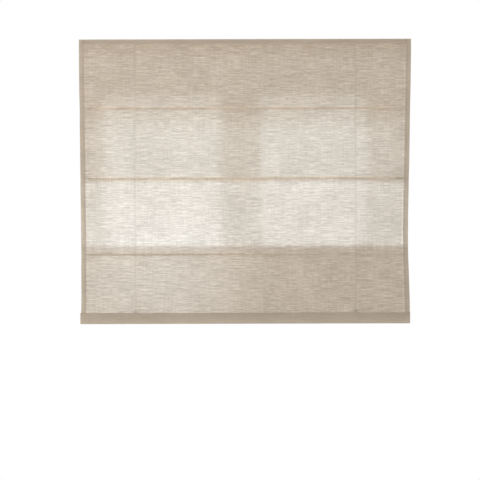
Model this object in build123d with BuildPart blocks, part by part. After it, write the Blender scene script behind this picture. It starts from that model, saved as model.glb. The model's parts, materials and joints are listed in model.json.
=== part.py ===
"""Flat roman blind, fully lowered: hemmed linen-look cloth, rods, cords, headrail and spring motor.

Millimetres. +X runs along the width, +Y into the wall and +Z up. The origin is the centre of the
four wall-screw holes, on the wall plane, so the whole blind stands at negative Y.
"""

import os

from build123d import *

os.makedirs("parts", exist_ok=True)

# Cloth
cloth_width = 1200.0
top_panel_drop = 250.0
second_panel_drop = 253.0
third_panel_drop = 274.0
bottom_panel_drop = 250.0
cloth_thickness = 0.8
top_hem_height = 18.0
side_hem_width = 18.0
bottom_hem_height = 40.0
hem_stitch_band = 5.0
panel_bow = 4.0
left_waist_inset = 7.5
right_waist_inset = 14.0
left_foot_inset = 3.0
right_foot_inset = 6.5
waist_share = 0.69
cloth_rise = 0.5

# Hook and loop tape
tape_height = 20.0
tape_thickness = 0.9
tape_end_gap = 8.0

# Rods in their pockets
rod_diameter = 4.0
rod_cap_wall = 0.4
rod_cap_length = 12.0
pocket_height = 11.0
pocket_cloth = 0.6
pocket_clearance = 0.1
pocket_end_gap = 1.0

# Cord rings, cord anchors and lift cords
cord_diameter = 1.5
cord_inset = 202.0
cord_knot_radius = 2.3
cord_knot_length = 5.0
ring_hole_radius = 1.75
ring_wall = 1.5
ring_height = 2.0
ring_plate_width = 9.0
ring_plate_thickness = 1.2
ring_root = 0.5
anchor_plate_height = 12.0
anchor_drop = 4.0

# Bottom bar
bar_height = 28.0
bar_thickness = 3.0
bar_end_gap = 6.0
bar_cap_wall = 0.6
bar_cap_length = 10.0
bar_cap_floor = 1.2
hem_clearance = 0.2
hem_proud = 1.0

# Wall brackets
hole_spacing = 16.0
hole_radius = 2.25
bracket_inset = 130.0
bracket_width = 25.0
bracket_thickness = 2.0
bracket_corner_radius = 4.0
bend_radius = 2.0
arm_rise = 8.0
plate_drop = 7.0
arm_beyond_pivot = 9.0
screw_head_room = 5.0

# Turn levers and their rivets
lever_thickness = 2.0
lever_length = 18.5
lever_tip_radius = 3.5
lever_gap = 0.3
cam_thickness = 1.8
cam_width = 9.4
cam_lift = 0.2
rivet_radius = 2.0
rivet_head_radius = 4.0
rivet_head_height = 1.2
rivet_tail_radius = 3.0
rivet_tail_height = 0.9
rivet_tail_gap = 0.1

# Headrail
headrail_depth = 34.0
headrail_end_gap = 4.5
rail_wall = 1.4
rail_corner_radius = 0.6
track_opening = 10.0
track_lip_reach = 3.0
track_lip_thickness = 1.2
track_wall = 1.2
track_height = 2.4
fin_margin = 1.3
end_cap_thickness = 2.5
end_cap_radius = 2.0
plug_length = 12.0
plug_wall = 1.6

# Spools, cradles and drive shaft
spool_barrel_length = 26.0
spool_flange_thickness = 1.5
spool_flange_margin = 0.4
journal_radius = 4.5
journal_overhang = 1.0
shaft_side = 5.0
shaft_corner = 0.6
shaft_overhang = 12.0
cradle_floor = 1.8
cradle_wall = 2.4
cradle_top_margin = 3.0
eyelet_hole_radius = 1.3
eyelet_wall = 0.7
eyelet_drop = 0.8

# Spring motor
motor_length = 46.0
motor_place = 0.0
motor_wall = 0.9
motor_end_wall = 2.4
motor_corner_radius = 1.5
arbor_radius = 4.0
spring_width = 32.0
spring_thickness = 0.35
spring_half_turn_count = 11
screw_radius = 1.2
screw_length = 9.0
screw_head_radius = 2.2
screw_head_height = 1.2
screw_inset = 2.8
screw_row_count = 2

# Clearances and overrun
running_clearance = 0.05
fit_clearance = 0.2
soft_clearance = 0.3
spool_clearance = 0.7
overrun = 1.0

# Places across the depth, from the wall to the front
rail_back_y = -(bracket_thickness + screw_head_room)
rail_front_y = rail_back_y - headrail_depth
axis_y = (rail_back_y + rail_front_y) / 2
hook_front_y = rail_front_y - tape_thickness
loop_front_y = hook_front_y - tape_thickness
cloth_back_y = loop_front_y - cloth_thickness
cloth_front_y = cloth_back_y - cloth_thickness
rod_cap_radius = rod_diameter / 2 + rod_cap_wall
pocket_hollow = 2 * (rod_cap_radius + pocket_clearance)
pocket_depth = pocket_hollow + 2 * pocket_cloth
pocket_back_y = cloth_back_y + pocket_depth
rod_y = cloth_back_y + pocket_depth / 2
ring_radius = ring_hole_radius + ring_wall
cord_radius = cord_diameter / 2
cord_y = pocket_back_y + ring_plate_thickness - ring_root + ring_radius

# Spool, cradle and cavity sizes that follow from the cord's line
winding_radius = axis_y - cord_y
spool_radius = winding_radius - cord_radius - soft_clearance
flange_radius = winding_radius + cord_radius + spool_flange_margin
cavity_height = 2 * (flange_radius + spool_clearance) + cradle_floor
cavity_width = headrail_depth - 2 * rail_wall
eyelet_radius = eyelet_hole_radius + eyelet_wall
slot_half = axis_y - cord_y + eyelet_radius + fit_clearance

# Heights, from the wall holes up to the bracket arm and down through the headrail
arm_bottom_z = hole_spacing / 2 + arm_rise
arm_top_z = arm_bottom_z + bracket_thickness
lever_top_z = arm_bottom_z - lever_gap
lever_bottom_z = lever_top_z - lever_thickness
track_top_z = lever_bottom_z - lever_gap
track_depth = track_height + track_lip_thickness
roof_top_z = track_top_z - track_depth
cavity_top_z = roof_top_z - rail_wall
cavity_bottom_z = cavity_top_z - cavity_height
rail_bottom_z = cavity_bottom_z - rail_wall
rail_top_z = arm_top_z + rivet_head_height + fin_margin
shaft_z = cavity_bottom_z + cradle_floor + spool_clearance + flange_radius
cam_bottom_z = roof_top_z + cam_lift
cam_top_z = cam_bottom_z + cam_thickness
track_width = track_opening + 2 * track_lip_reach
cam_radius = track_width / 2 - soft_clearance

# Heights down the cloth
cloth_top_z = rail_top_z + cloth_rise
panel_drops = (top_panel_drop, second_panel_drop, third_panel_drop)
seam_zs = [cloth_top_z - sum(panel_drops[: i + 1]) for i in range(len(panel_drops))]
cloth_bottom_z = seam_zs[-1] - bottom_panel_drop
hem_top_z = cloth_bottom_z + bottom_hem_height
waist_z = cloth_top_z - waist_share * (cloth_top_z - cloth_bottom_z)

# Bottom hem and bar
bar_cap_depth = bar_thickness + 2 * bar_cap_wall
hem_hollow = bar_cap_depth + 2 * hem_clearance
hem_depth = hem_hollow + 2 * cloth_thickness
hem_front_y = cloth_front_y - hem_proud
hem_back_y = hem_front_y + hem_depth
bar_y = hem_front_y + hem_depth / 2
hem_hollow_height = bottom_hem_height - 2 * cloth_thickness - hem_stitch_band
bar_z = cloth_bottom_z + cloth_thickness + hem_hollow_height / 2

# Lengths and places along the width
bracket_spacing = cloth_width - 2 * bracket_inset
cord_offset = cloth_width / 2 - cord_inset
rail_length = cloth_width - 2 * headrail_end_gap
tape_length = cloth_width - 2 * tape_end_gap
pocket_length = cloth_width - 2 * (side_hem_width + right_waist_inset + pocket_end_gap)
bar_length = cloth_width - 2 * (right_foot_inset + bar_end_gap)
spool_length = spool_barrel_length + 2 * spool_flange_thickness
cradle_length = spool_length + 2 * (fit_clearance + cradle_wall)
shaft_length = 2 * (cord_offset + cradle_length / 2 + shaft_overhang)

sides = (("left", -1), ("right", 1))


# Cloth: the outline of the front, with sides that draw in a little towards the lower rods
def side_curve(shift):
    """The left and right edges of the cloth, moved inwards by shift, from top to bottom."""
    left = -cloth_width / 2 + shift
    right = cloth_width / 2 - shift
    left_edge = (
        (left, cloth_top_z),
        (left + left_waist_inset, waist_z),
        (left + left_foot_inset, cloth_bottom_z),
    )
    right_edge = (
        (right, cloth_top_z),
        (right - right_waist_inset, waist_z),
        (right - right_foot_inset, cloth_bottom_z),
    )
    return left_edge, right_edge


half_pocket = pocket_height / 2
flats = [(cloth_top_z, cloth_top_z - top_hem_height)]
flats += [(seam_z + half_pocket, seam_z - half_pocket) for seam_z in seam_zs]
flats += [(hem_top_z, hem_top_z - hem_depth / 2)]


def layer_face(front_y, back_y):
    """One layer of cloth in section: flat at the hems and pockets, bowed forward between them."""
    with BuildLine() as layer:
        for face_y in (front_y, back_y):
            for upper, lower in zip(flats[:-1], flats[1:]):
                Line((face_y, upper[0]), (face_y, upper[1]))
                middle_z = (upper[1] + lower[0]) / 2
                ThreePointArc((face_y, upper[1]), (face_y - panel_bow, middle_z), (face_y, lower[0]))
            Line((face_y, flats[-1][0]), (face_y, flats[-1][1]))
        Line((front_y, flats[0][0]), (back_y, flats[0][0]))
        Line((front_y, flats[-1][1]), (back_y, flats[-1][1]))
    make_face(layer.edges())


outer_left, outer_right = side_curve(0)
inner_left, inner_right = side_curve(side_hem_width)

with BuildPart() as side_hems:
    with BuildSketch(Plane.YZ) as hem_layer:
        layer_face(cloth_back_y, cloth_back_y + cloth_thickness)
    extrude(amount=cloth_width / 2, both=True)
    with BuildSketch(Plane.XZ) as hem_strips:
        for outer_edge, inner_edge in ((outer_left, inner_left), (outer_right, inner_right)):
            with BuildLine():
                Spline(*outer_edge)
                Spline(*inner_edge)
                Line(outer_edge[0], inner_edge[0])
                Line(outer_edge[-1], inner_edge[-1])
            make_face()
    extrude(amount=-2 * cloth_front_y, both=True, mode=Mode.INTERSECT)

with BuildPart() as fabric:
    with BuildSketch(Plane.YZ) as cloth_section:
        layer_face(cloth_front_y, cloth_back_y)
        with Locations(((cloth_back_y + loop_front_y) / 2, cloth_top_z - top_hem_height / 2)):
            Rectangle(cloth_thickness, top_hem_height)
        with Locations((bar_y, cloth_bottom_z + bottom_hem_height / 2)):
            SlotOverall(bottom_hem_height, hem_depth, rotation=90)
        with Locations((bar_y, bar_z)):
            SlotOverall(hem_hollow_height, hem_hollow, rotation=90, mode=Mode.SUBTRACT)
    extrude(amount=cloth_width / 2, both=True)
    with BuildSketch(Plane.XZ) as front_outline:
        with BuildLine():
            Spline(*outer_left)
            Spline(*outer_right)
            Line(outer_left[0], outer_right[0])
            Line(outer_left[-1], outer_right[-1])
        make_face()
    extrude(amount=-2 * cloth_front_y, both=True, mode=Mode.INTERSECT)
    add(side_hems.part)
fabric.part.label = "fabric"
export_step(fabric.part, "parts/fabric.step")

# Hook tape on the headrail's fin, loop tape sewn under the top hem
tape_z = rail_top_z - tape_height / 2
with BuildPart() as hook_tape:
    with Locations((0, (rail_front_y + hook_front_y) / 2, tape_z)):
        Box(tape_length, tape_thickness, tape_height)
hook_tape.part.label = "hook_tape"
export_step(hook_tape.part, "parts/hook_tape.step")

with BuildPart() as loop_tape:
    with Locations((0, (hook_front_y + loop_front_y) / 2, tape_z)):
        Box(tape_length, tape_thickness, tape_height)
loop_tape.part.label = "loop_tape"
export_step(loop_tape.part, "parts/loop_tape.step")

# Headrail: a channel open below, with a bracket track on its roof and a tall front fin
with BuildPart() as headrail:
    with BuildSketch(Plane.YZ) as rail_section:
        with Locations((axis_y, (rail_bottom_z + roof_top_z) / 2)):
            Rectangle(headrail_depth, roof_top_z - rail_bottom_z)
        with Locations((rail_front_y + rail_wall / 2, (rail_bottom_z + rail_top_z) / 2)):
            Rectangle(rail_wall, rail_top_z - rail_bottom_z)
        with Locations((axis_y, roof_top_z + track_depth / 2)):
            Rectangle(track_width + 2 * track_wall, track_depth)
        corners = rail_section.vertices().group_by(Axis.Y)[0] + rail_section.vertices().group_by(Axis.Y)[-1]
        fillet(corners, radius=rail_corner_radius)
        with Locations((axis_y, (cavity_bottom_z + cavity_top_z) / 2)):
            Rectangle(cavity_width, cavity_height, mode=Mode.SUBTRACT)
        with Locations((axis_y, rail_bottom_z + rail_wall / 2)):
            Rectangle(2 * slot_half, rail_wall + overrun, mode=Mode.SUBTRACT)
        with Locations((axis_y, roof_top_z + track_height / 2)):
            Rectangle(track_width, track_height, mode=Mode.SUBTRACT)
        with Locations((axis_y, track_top_z)):
            Rectangle(track_opening, 2 * track_lip_thickness, mode=Mode.SUBTRACT)
    extrude(amount=rail_length / 2, both=True)
headrail.part.label = "headrail"
export_step(headrail.part, "parts/headrail.step")

# End caps: a plate over the headrail's section with a hollow plug inside the channel
for side_name, side in sides:
    face_x = side * rail_length / 2
    cap_plane = Plane(origin=(face_x, 0, 0), x_dir=(0, side, 0), z_dir=(side, 0, 0))
    with BuildPart() as end_cap:
        with BuildSketch(cap_plane) as cap_outline:
            with BuildLine():
                Polyline(
                    (side * rail_front_y, rail_bottom_z),
                    (side * rail_front_y, rail_top_z),
                    (side * (rail_front_y + 2 * end_cap_radius), rail_top_z),
                    (side * rail_back_y, track_top_z),
                    (side * rail_back_y, rail_bottom_z),
                    close=True,
                )
            make_face()
            fillet(cap_outline.vertices(), radius=end_cap_radius / 2)
        extrude(amount=end_cap_thickness)
        plug_depth = cavity_width - 2 * fit_clearance
        plug_height = cavity_height - 2 * fit_clearance
        with BuildSketch(cap_plane) as plug_outline:
            with Locations((side * axis_y, (cavity_bottom_z + cavity_top_z) / 2)):
                Rectangle(plug_depth, plug_height)
                Rectangle(plug_depth - 2 * plug_wall, plug_height - 2 * plug_wall, mode=Mode.SUBTRACT)
        extrude(amount=-plug_length)
    end_cap.part.label = f"end_cap_{side_name}"
    export_step(end_cap.part, f"parts/end_cap_{side_name}.step")

# Wall brackets: one bent strip each, holes to the wall and a rivet hole over the track
for side_name, side in sides:
    bracket_x = side * bracket_spacing / 2
    arm_end_y = axis_y - arm_beyond_pivot
    plate_bottom_z = -hole_spacing / 2 - plate_drop
    with BuildPart() as wall_bracket:
        with BuildSketch(Plane.YZ.offset(bracket_x)) as strip_section:
            with BuildLine():
                FilletPolyline(
                    (0, plate_bottom_z),
                    (0, arm_top_z),
                    (arm_end_y, arm_top_z),
                    radius=bend_radius + bracket_thickness,
                )
                FilletPolyline(
                    (-bracket_thickness, plate_bottom_z),
                    (-bracket_thickness, arm_bottom_z),
                    (arm_end_y, arm_bottom_z),
                    radius=bend_radius,
                )
                Line((0, plate_bottom_z), (-bracket_thickness, plate_bottom_z))
                Line((arm_end_y, arm_top_z), (arm_end_y, arm_bottom_z))
            make_face()
        extrude(amount=bracket_width / 2, both=True)
        foot_edges = wall_bracket.edges().filter_by(Axis.Y).group_by(Axis.Z)[0]
        nose_edges = wall_bracket.edges().filter_by(Axis.Z).group_by(Axis.Y)[0]
        fillet(foot_edges + nose_edges, radius=bracket_corner_radius)
        with Locations(Plane.XZ):
            with Locations((bracket_x, hole_spacing / 2), (bracket_x, -hole_spacing / 2)):
                Hole(hole_radius, depth=bracket_thickness + overrun)
        with Locations((bracket_x, axis_y, arm_top_z)):
            Hole(rivet_radius + running_clearance, depth=bracket_thickness + overrun)
    wall_bracket.part.label = f"wall_bracket_{side_name}"
    export_step(wall_bracket.part, f"parts/wall_bracket_{side_name}.step")

    # Rivet: head on the arm, shank through the lever, tail sunk in the cam
    tail_bottom_z = cam_bottom_z + rivet_tail_gap
    tail_top_z = tail_bottom_z + rivet_tail_height
    with BuildPart() as bracket_rivet:
        with BuildSketch(Plane.XZ.offset(-axis_y)) as rivet_half:
            with BuildLine():
                Polyline(
                    (bracket_x, tail_bottom_z),
                    (bracket_x + rivet_tail_radius, tail_bottom_z),
                    (bracket_x + rivet_tail_radius, tail_top_z),
                    (bracket_x + rivet_radius, tail_top_z),
                    (bracket_x + rivet_radius, arm_top_z),
                    (bracket_x + rivet_head_radius, arm_top_z),
                    (bracket_x + rivet_head_radius, arm_top_z + rivet_head_height),
                    (bracket_x, arm_top_z + rivet_head_height),
                    close=True,
                )
            make_face()
        revolve(axis=Axis((bracket_x, axis_y, 0), (0, 0, 1)))
        chamfer(bracket_rivet.edges().group_by(Axis.Z)[-1], length=rivet_head_height / 2)
    bracket_rivet.part.label = f"bracket_rivet_{side_name}"
    export_step(bracket_rivet.part, f"parts/bracket_rivet_{side_name}.step")

    # Turn lever: finger plate, neck through the track's mouth, and an oblong cam under its lips
    hub_radius = cam_width / 2 + track_wall
    with BuildPart() as bracket_lever:
        with BuildSketch(Plane.XY.offset(lever_bottom_z)) as finger_plate:
            with Locations((bracket_x, axis_y)):
                Circle(hub_radius)
            with Locations((bracket_x + side * (lever_length - lever_tip_radius), axis_y)):
                Circle(lever_tip_radius)
            make_hull()
        extrude(amount=lever_thickness)
        with BuildSketch(Plane.XY.offset(cam_top_z)) as neck:
            with Locations((bracket_x, axis_y)):
                Circle(cam_width / 2)
        extrude(amount=lever_bottom_z - cam_top_z)
        with BuildSketch(Plane.XY.offset(cam_bottom_z)) as cam:
            with Locations((bracket_x, axis_y)):
                Circle(cam_radius)
                Rectangle(cam_width, 2 * cam_radius, mode=Mode.INTERSECT)
        extrude(amount=cam_thickness)
        with Locations((bracket_x, axis_y, lever_top_z)):
            Hole(rivet_radius + running_clearance, depth=lever_top_z - cam_bottom_z + overrun)
        with BuildSketch(Plane.XY.offset(cam_bottom_z)) as tail_seat:
            with Locations((bracket_x, axis_y)):
                Circle(rivet_tail_radius + rivet_tail_gap)
        extrude(amount=rivet_tail_height + 2 * rivet_tail_gap, mode=Mode.SUBTRACT)
    bracket_lever.part.label = f"bracket_lever_{side_name}"
    export_step(bracket_lever.part, f"parts/bracket_lever_{side_name}.step")

# Drive shaft: a square bar with broken corners
with BuildPart() as drive_shaft:
    with BuildSketch(Plane.YZ) as shaft_section:
        with Locations((axis_y, shaft_z)):
            Rectangle(shaft_side, shaft_side)
        chamfer(shaft_section.vertices(), length=shaft_corner)
    extrude(amount=shaft_length / 2, both=True)
drive_shaft.part.label = "drive_shaft"
export_step(drive_shaft.part, "parts/drive_shaft.step")

# Cord spools and the cradles that carry them
shaft_axis = Axis((0, axis_y, shaft_z), (1, 0, 0))
bore_side = shaft_side + 2 * running_clearance
for side_name, side in sides:
    spool_x = side * cord_offset
    half_barrel = spool_barrel_length / 2
    half_spool = spool_length / 2
    half_journal = cradle_length / 2 + journal_overhang
    with BuildPart() as spool:
        with BuildSketch(Plane.XY.offset(shaft_z)) as spool_half:
            with BuildLine():
                Polyline(
                    (spool_x - half_journal, axis_y),
                    (spool_x - half_journal, axis_y + journal_radius),
                    (spool_x - half_spool, axis_y + journal_radius),
                    (spool_x - half_spool, axis_y + flange_radius),
                    (spool_x - half_barrel, axis_y + flange_radius),
                    (spool_x - half_barrel, axis_y + spool_radius),
                    (spool_x + half_barrel, axis_y + spool_radius),
                    (spool_x + half_barrel, axis_y + flange_radius),
                    (spool_x + half_spool, axis_y + flange_radius),
                    (spool_x + half_spool, axis_y + journal_radius),
                    (spool_x + half_journal, axis_y + journal_radius),
                    (spool_x + half_journal, axis_y),
                    close=True,
                )
            make_face()
        revolve(axis=shaft_axis)
        with BuildSketch(Plane.YZ.offset(spool_x - half_journal - overrun)) as spool_bore:
            with Locations((axis_y, shaft_z)):
                Rectangle(bore_side, bore_side)
        extrude(amount=2 * (half_journal + overrun), mode=Mode.SUBTRACT)
    spool.part.label = f"spool_{side_name}"
    export_step(spool.part, f"parts/spool_{side_name}.step")

    cradle_width = cavity_width - 2 * fit_clearance
    cradle_top_z = shaft_z + journal_radius + cradle_top_margin
    bearing_radius = journal_radius + running_clearance
    with BuildPart() as spool_cradle:
        with BuildSketch(Plane.YZ.offset(spool_x - cradle_length / 2)) as cradle_end:
            with Locations((axis_y, (cavity_bottom_z + cradle_top_z) / 2)):
                Rectangle(cradle_width, cradle_top_z - cavity_bottom_z)
            fillet(cradle_end.vertices().group_by(Axis.Y)[-1], radius=cradle_top_margin)
        extrude(amount=cradle_length)
        with BuildSketch(Plane.YZ.offset(spool_x - spool_length / 2 - fit_clearance)) as cradle_well:
            with Locations((axis_y, (cavity_bottom_z + cradle_floor + cradle_top_z + overrun) / 2)):
                Rectangle(cradle_width + overrun, cradle_top_z + overrun - cavity_bottom_z - cradle_floor)
        extrude(amount=spool_length + 2 * fit_clearance, mode=Mode.SUBTRACT)
        with BuildSketch(Plane.YZ.offset(spool_x - cradle_length / 2 - overrun)) as bearing_slot:
            with Locations((axis_y, shaft_z)):
                Circle(bearing_radius)
            with Locations((axis_y, (shaft_z + cradle_top_z + overrun) / 2)):
                Rectangle(2 * bearing_radius, cradle_top_z + overrun - shaft_z)
        extrude(amount=cradle_length + 2 * overrun, mode=Mode.SUBTRACT)
        with BuildSketch(Plane.XY.offset(cavity_bottom_z)) as eyelet:
            with Locations((spool_x, cord_y)):
                Circle(eyelet_radius)
        extrude(amount=-(rail_wall + eyelet_drop))
        with Locations((spool_x, cord_y, cavity_bottom_z + cradle_floor)):
            Hole(eyelet_hole_radius, depth=cradle_floor + rail_wall + eyelet_drop + overrun)
    spool_cradle.part.label = f"spool_cradle_{side_name}"
    export_step(spool_cradle.part, f"parts/spool_cradle_{side_name}.step")

# Spring motor: case, cover, screws, arbor on the shaft and the spiral power spring between them
case_depth = cavity_width - 2 * fit_clearance
case_height = cavity_height - fit_clearance
case_z = cavity_bottom_z + case_height / 2
spring_room = case_height / 2 - abs(shaft_z - case_z) - motor_wall
case_left_x = motor_place - motor_length / 2
case_right_x = motor_place + motor_length / 2
screw_span_y = case_depth - 2 * screw_inset
screw_span_z = case_height - 2 * screw_inset
arbor_bearing = arbor_radius + running_clearance

with BuildPart() as motor_case:
    with BuildSketch(Plane.YZ.offset(case_left_x)) as case_outline:
        with Locations((axis_y, case_z)):
            RectangleRounded(case_depth, case_height, motor_corner_radius)
    extrude(amount=motor_length)
    with BuildSketch(Plane.YZ.offset(case_left_x + motor_end_wall)) as spring_bay:
        with Locations((axis_y, shaft_z)):
            Circle(spring_room)
    extrude(amount=motor_length, mode=Mode.SUBTRACT)
    with BuildSketch(Plane.YZ.offset(case_left_x - overrun)) as case_bearing:
        with Locations((axis_y, shaft_z)):
            Circle(arbor_bearing)
    extrude(amount=motor_end_wall + 2 * overrun, mode=Mode.SUBTRACT)
    with BuildSketch(Plane.YZ.offset(case_right_x)) as pilot_holes:
        with Locations((axis_y, case_z)):
            with GridLocations(screw_span_y, screw_span_z, screw_row_count, screw_row_count):
                Circle(screw_radius + running_clearance)
    extrude(amount=-screw_length, mode=Mode.SUBTRACT)
motor_case.part.label = "motor_case"
export_step(motor_case.part, "parts/motor_case.step")

with BuildPart() as motor_cover:
    with BuildSketch(Plane.YZ.offset(case_right_x)) as cover_outline:
        with Locations((axis_y, case_z)):
            RectangleRounded(case_depth, case_height, motor_corner_radius)
            with GridLocations(screw_span_y, screw_span_z, screw_row_count, screw_row_count):
                Circle(screw_radius + running_clearance, mode=Mode.SUBTRACT)
        with Locations((axis_y, shaft_z)):
            Circle(arbor_bearing, mode=Mode.SUBTRACT)
    extrude(amount=motor_end_wall)
motor_cover.part.label = "motor_cover"
export_step(motor_cover.part, "parts/motor_cover.step")

cover_face_x = case_right_x + motor_end_wall
with BuildPart() as cover_screws:
    with BuildSketch(Plane.YZ.offset(cover_face_x)) as screw_heads:
        with Locations((axis_y, case_z)):
            with GridLocations(screw_span_y, screw_span_z, screw_row_count, screw_row_count):
                Circle(screw_head_radius)
    extrude(amount=screw_head_height)
    with BuildSketch(Plane.YZ.offset(cover_face_x)) as screw_shanks:
        with Locations((axis_y, case_z)):
            with GridLocations(screw_span_y, screw_span_z, screw_row_count, screw_row_count):
                Circle(screw_radius)
    extrude(amount=-screw_length)
cover_screws.part.label = "cover_screws"
export_step(cover_screws.part, "parts/cover_screws.step")

with BuildPart() as spring_arbor:
    with BuildSketch(Plane.YZ.offset(case_left_x - journal_overhang)) as arbor_section:
        with Locations((axis_y, shaft_z)):
            Circle(arbor_radius)
            Rectangle(bore_side, bore_side, mode=Mode.SUBTRACT)
    extrude(amount=motor_length + motor_end_wall + 2 * journal_overhang)
spring_arbor.part.label = "spring_arbor"
export_step(spring_arbor.part, "parts/spring_arbor.step")

# The spring's spiral is half circles about two centres, each one step larger than the last
spring_start = arbor_radius + spring_thickness
spring_step = (spring_room - spring_start - spring_thickness) / spring_half_turn_count
spring_end_x = case_left_x + motor_end_wall + (motor_length - motor_end_wall - spring_width) / 2
with BuildPart() as power_spring:
    with BuildSketch(Plane.YZ.offset(spring_end_x)) as spiral:
        with BuildLine():
            for edge_shift in (-spring_thickness / 2, spring_thickness / 2):
                for turn in range(spring_half_turn_count):
                    radius = spring_start + turn * spring_step + edge_shift
                    centre_y = axis_y + (turn % 2) * spring_step
                    CenterArc((centre_y, shaft_z), radius, 180 * (turn % 2), 180)
            last_turn = spring_half_turn_count - 1
            last_radius = spring_start + last_turn * spring_step
            last_centre_y = axis_y + (last_turn % 2) * spring_step
            last_side = 1 if last_turn % 2 else -1
            for end_y in (axis_y + spring_start, last_centre_y + last_side * last_radius):
                Line((end_y - spring_thickness / 2, shaft_z), (end_y + spring_thickness / 2, shaft_z))
        make_face()
    extrude(amount=spring_width)
power_spring.part.label = "power_spring"
export_step(power_spring.part, "parts/power_spring.step")

# Rods: pocket, rod, end caps and cord rings at each seam
for number, seam_z in enumerate(seam_zs, start=1):
    with BuildPart() as rod_pocket:
        with BuildSketch(Plane.YZ) as pocket_section:
            with Locations((rod_y, seam_z)):
                SlotOverall(pocket_height, pocket_depth, rotation=90)
                hollow_height = pocket_height - 2 * pocket_cloth
                SlotOverall(hollow_height, pocket_hollow, rotation=90, mode=Mode.SUBTRACT)
        extrude(amount=pocket_length / 2, both=True)
    rod_pocket.part.label = f"rod_pocket_{number}"
    export_step(rod_pocket.part, f"parts/rod_pocket_{number}.step")

    rod_half = pocket_length / 2 - rod_cap_wall
    with BuildPart() as rod:
        with BuildSketch(Plane.YZ) as rod_section:
            with Locations((rod_y, seam_z)):
                Circle(rod_diameter / 2)
        extrude(amount=rod_half, both=True)
    rod.part.label = f"rod_{number}"
    export_step(rod.part, f"parts/rod_{number}.step")

    with BuildPart() as rod_caps:
        for side_name, side in sides:
            cap_plane = Plane(origin=(side * pocket_length / 2, rod_y, seam_z), z_dir=(-side, 0, 0))
            with BuildSketch(cap_plane) as cap_disc:
                Circle(rod_cap_radius)
            extrude(amount=rod_cap_length)
            with BuildSketch(cap_plane.offset(rod_cap_wall)) as cap_bore:
                Circle(rod_diameter / 2)
            extrude(amount=rod_cap_length, mode=Mode.SUBTRACT)
    rod_caps.part.label = f"rod_caps_{number}"
    export_step(rod_caps.part, f"parts/rod_caps_{number}.step")

    ring_plate_height = pocket_height - pocket_depth
    with BuildPart() as cord_rings:
        for side_name, side in sides:
            with Locations((side * cord_offset, pocket_back_y + ring_plate_thickness / 2, seam_z)):
                Box(ring_plate_width, ring_plate_thickness, ring_plate_height)
            with Locations((side * cord_offset, cord_y, seam_z)):
                Cylinder(ring_radius, ring_height)
                Cylinder(ring_hole_radius, ring_height + overrun, mode=Mode.SUBTRACT)
    cord_rings.part.label = f"cord_rings_{number}"
    export_step(cord_rings.part, f"parts/cord_rings_{number}.step")

# Bottom bar in the hem, with its end caps
with BuildPart() as bottom_bar:
    with BuildSketch(Plane.YZ) as bar_section:
        with Locations((bar_y, bar_z)):
            SlotOverall(bar_height, bar_thickness, rotation=90)
    extrude(amount=bar_length / 2 - bar_cap_floor, both=True)
bottom_bar.part.label = "bottom_bar"
export_step(bottom_bar.part, "parts/bottom_bar.step")

for side_name, side in sides:
    cap_plane = Plane(origin=(side * bar_length / 2, bar_y, bar_z), x_dir=(0, 0, 1), z_dir=(-side, 0, 0))
    with BuildPart() as bar_cap:
        with BuildSketch(cap_plane) as bar_cap_outline:
            SlotOverall(bar_height + 2 * bar_cap_wall, bar_cap_depth)
        extrude(amount=bar_cap_length)
        with BuildSketch(cap_plane.offset(bar_cap_floor)) as bar_cap_bore:
            SlotOverall(bar_height, bar_thickness)
        extrude(amount=bar_cap_length, mode=Mode.SUBTRACT)
    bar_cap.part.label = f"bar_cap_{side_name}"
    export_step(bar_cap.part, f"parts/bar_cap_{side_name}.step")

# Cord anchors sewn to the back of the bottom hem, and the lift cords tied off under their rings
anchor_z = hem_top_z - hem_depth / 2 - anchor_plate_height / 2
anchor_ring_z = anchor_z + anchor_plate_height / 2 - anchor_drop
anchor_front_y = cord_y - ring_radius + ring_root
for side_name, side in sides:
    cord_x = side * cord_offset
    with BuildPart() as cord_anchor:
        with Locations((cord_x, (hem_back_y + anchor_front_y) / 2, anchor_z)):
            Box(ring_plate_width, anchor_front_y - hem_back_y, anchor_plate_height)
        with Locations((cord_x, cord_y, anchor_ring_z)):
            Cylinder(ring_radius, ring_height)
            Cylinder(ring_hole_radius, ring_height + overrun, mode=Mode.SUBTRACT)
    cord_anchor.part.label = f"cord_anchor_{side_name}"
    export_step(cord_anchor.part, f"parts/cord_anchor_{side_name}.step")

    # The cord goes straight up from its knot and half round the spool
    knot_top_z = anchor_ring_z - ring_height / 2
    with BuildPart() as lift_cord:
        with BuildLine() as cord_route:
            rise = Line((cord_x, cord_y, knot_top_z - cord_knot_length), (cord_x, cord_y, shaft_z))
            ThreePointArc(
                (cord_x, cord_y, shaft_z),
                (cord_x, axis_y, shaft_z + winding_radius),
                (cord_x, axis_y + winding_radius, shaft_z),
            )
        with BuildSketch(Plane(origin=rise @ 0, z_dir=rise % 0)) as cord_section:
            Circle(cord_radius)
        sweep()
        with Locations((cord_x, cord_y, knot_top_z - cord_knot_length / 2)):
            Cylinder(cord_knot_radius, cord_knot_length)
    lift_cord.part.label = f"lift_cord_{side_name}"
    export_step(lift_cord.part, f"parts/lift_cord_{side_name}.step")
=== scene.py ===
"""Looks of a flat roman blind: hemmed linen-look cloth, rod sleeves, braided cords and dressed hardware.

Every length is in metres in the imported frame: +X along the width, +Y into the wall, +Z up.
"""

import json
import logging
import math
from dataclasses import dataclass
from enum import Enum

import bpy
import numpy as np
from mathutils import Matrix, Vector

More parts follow.
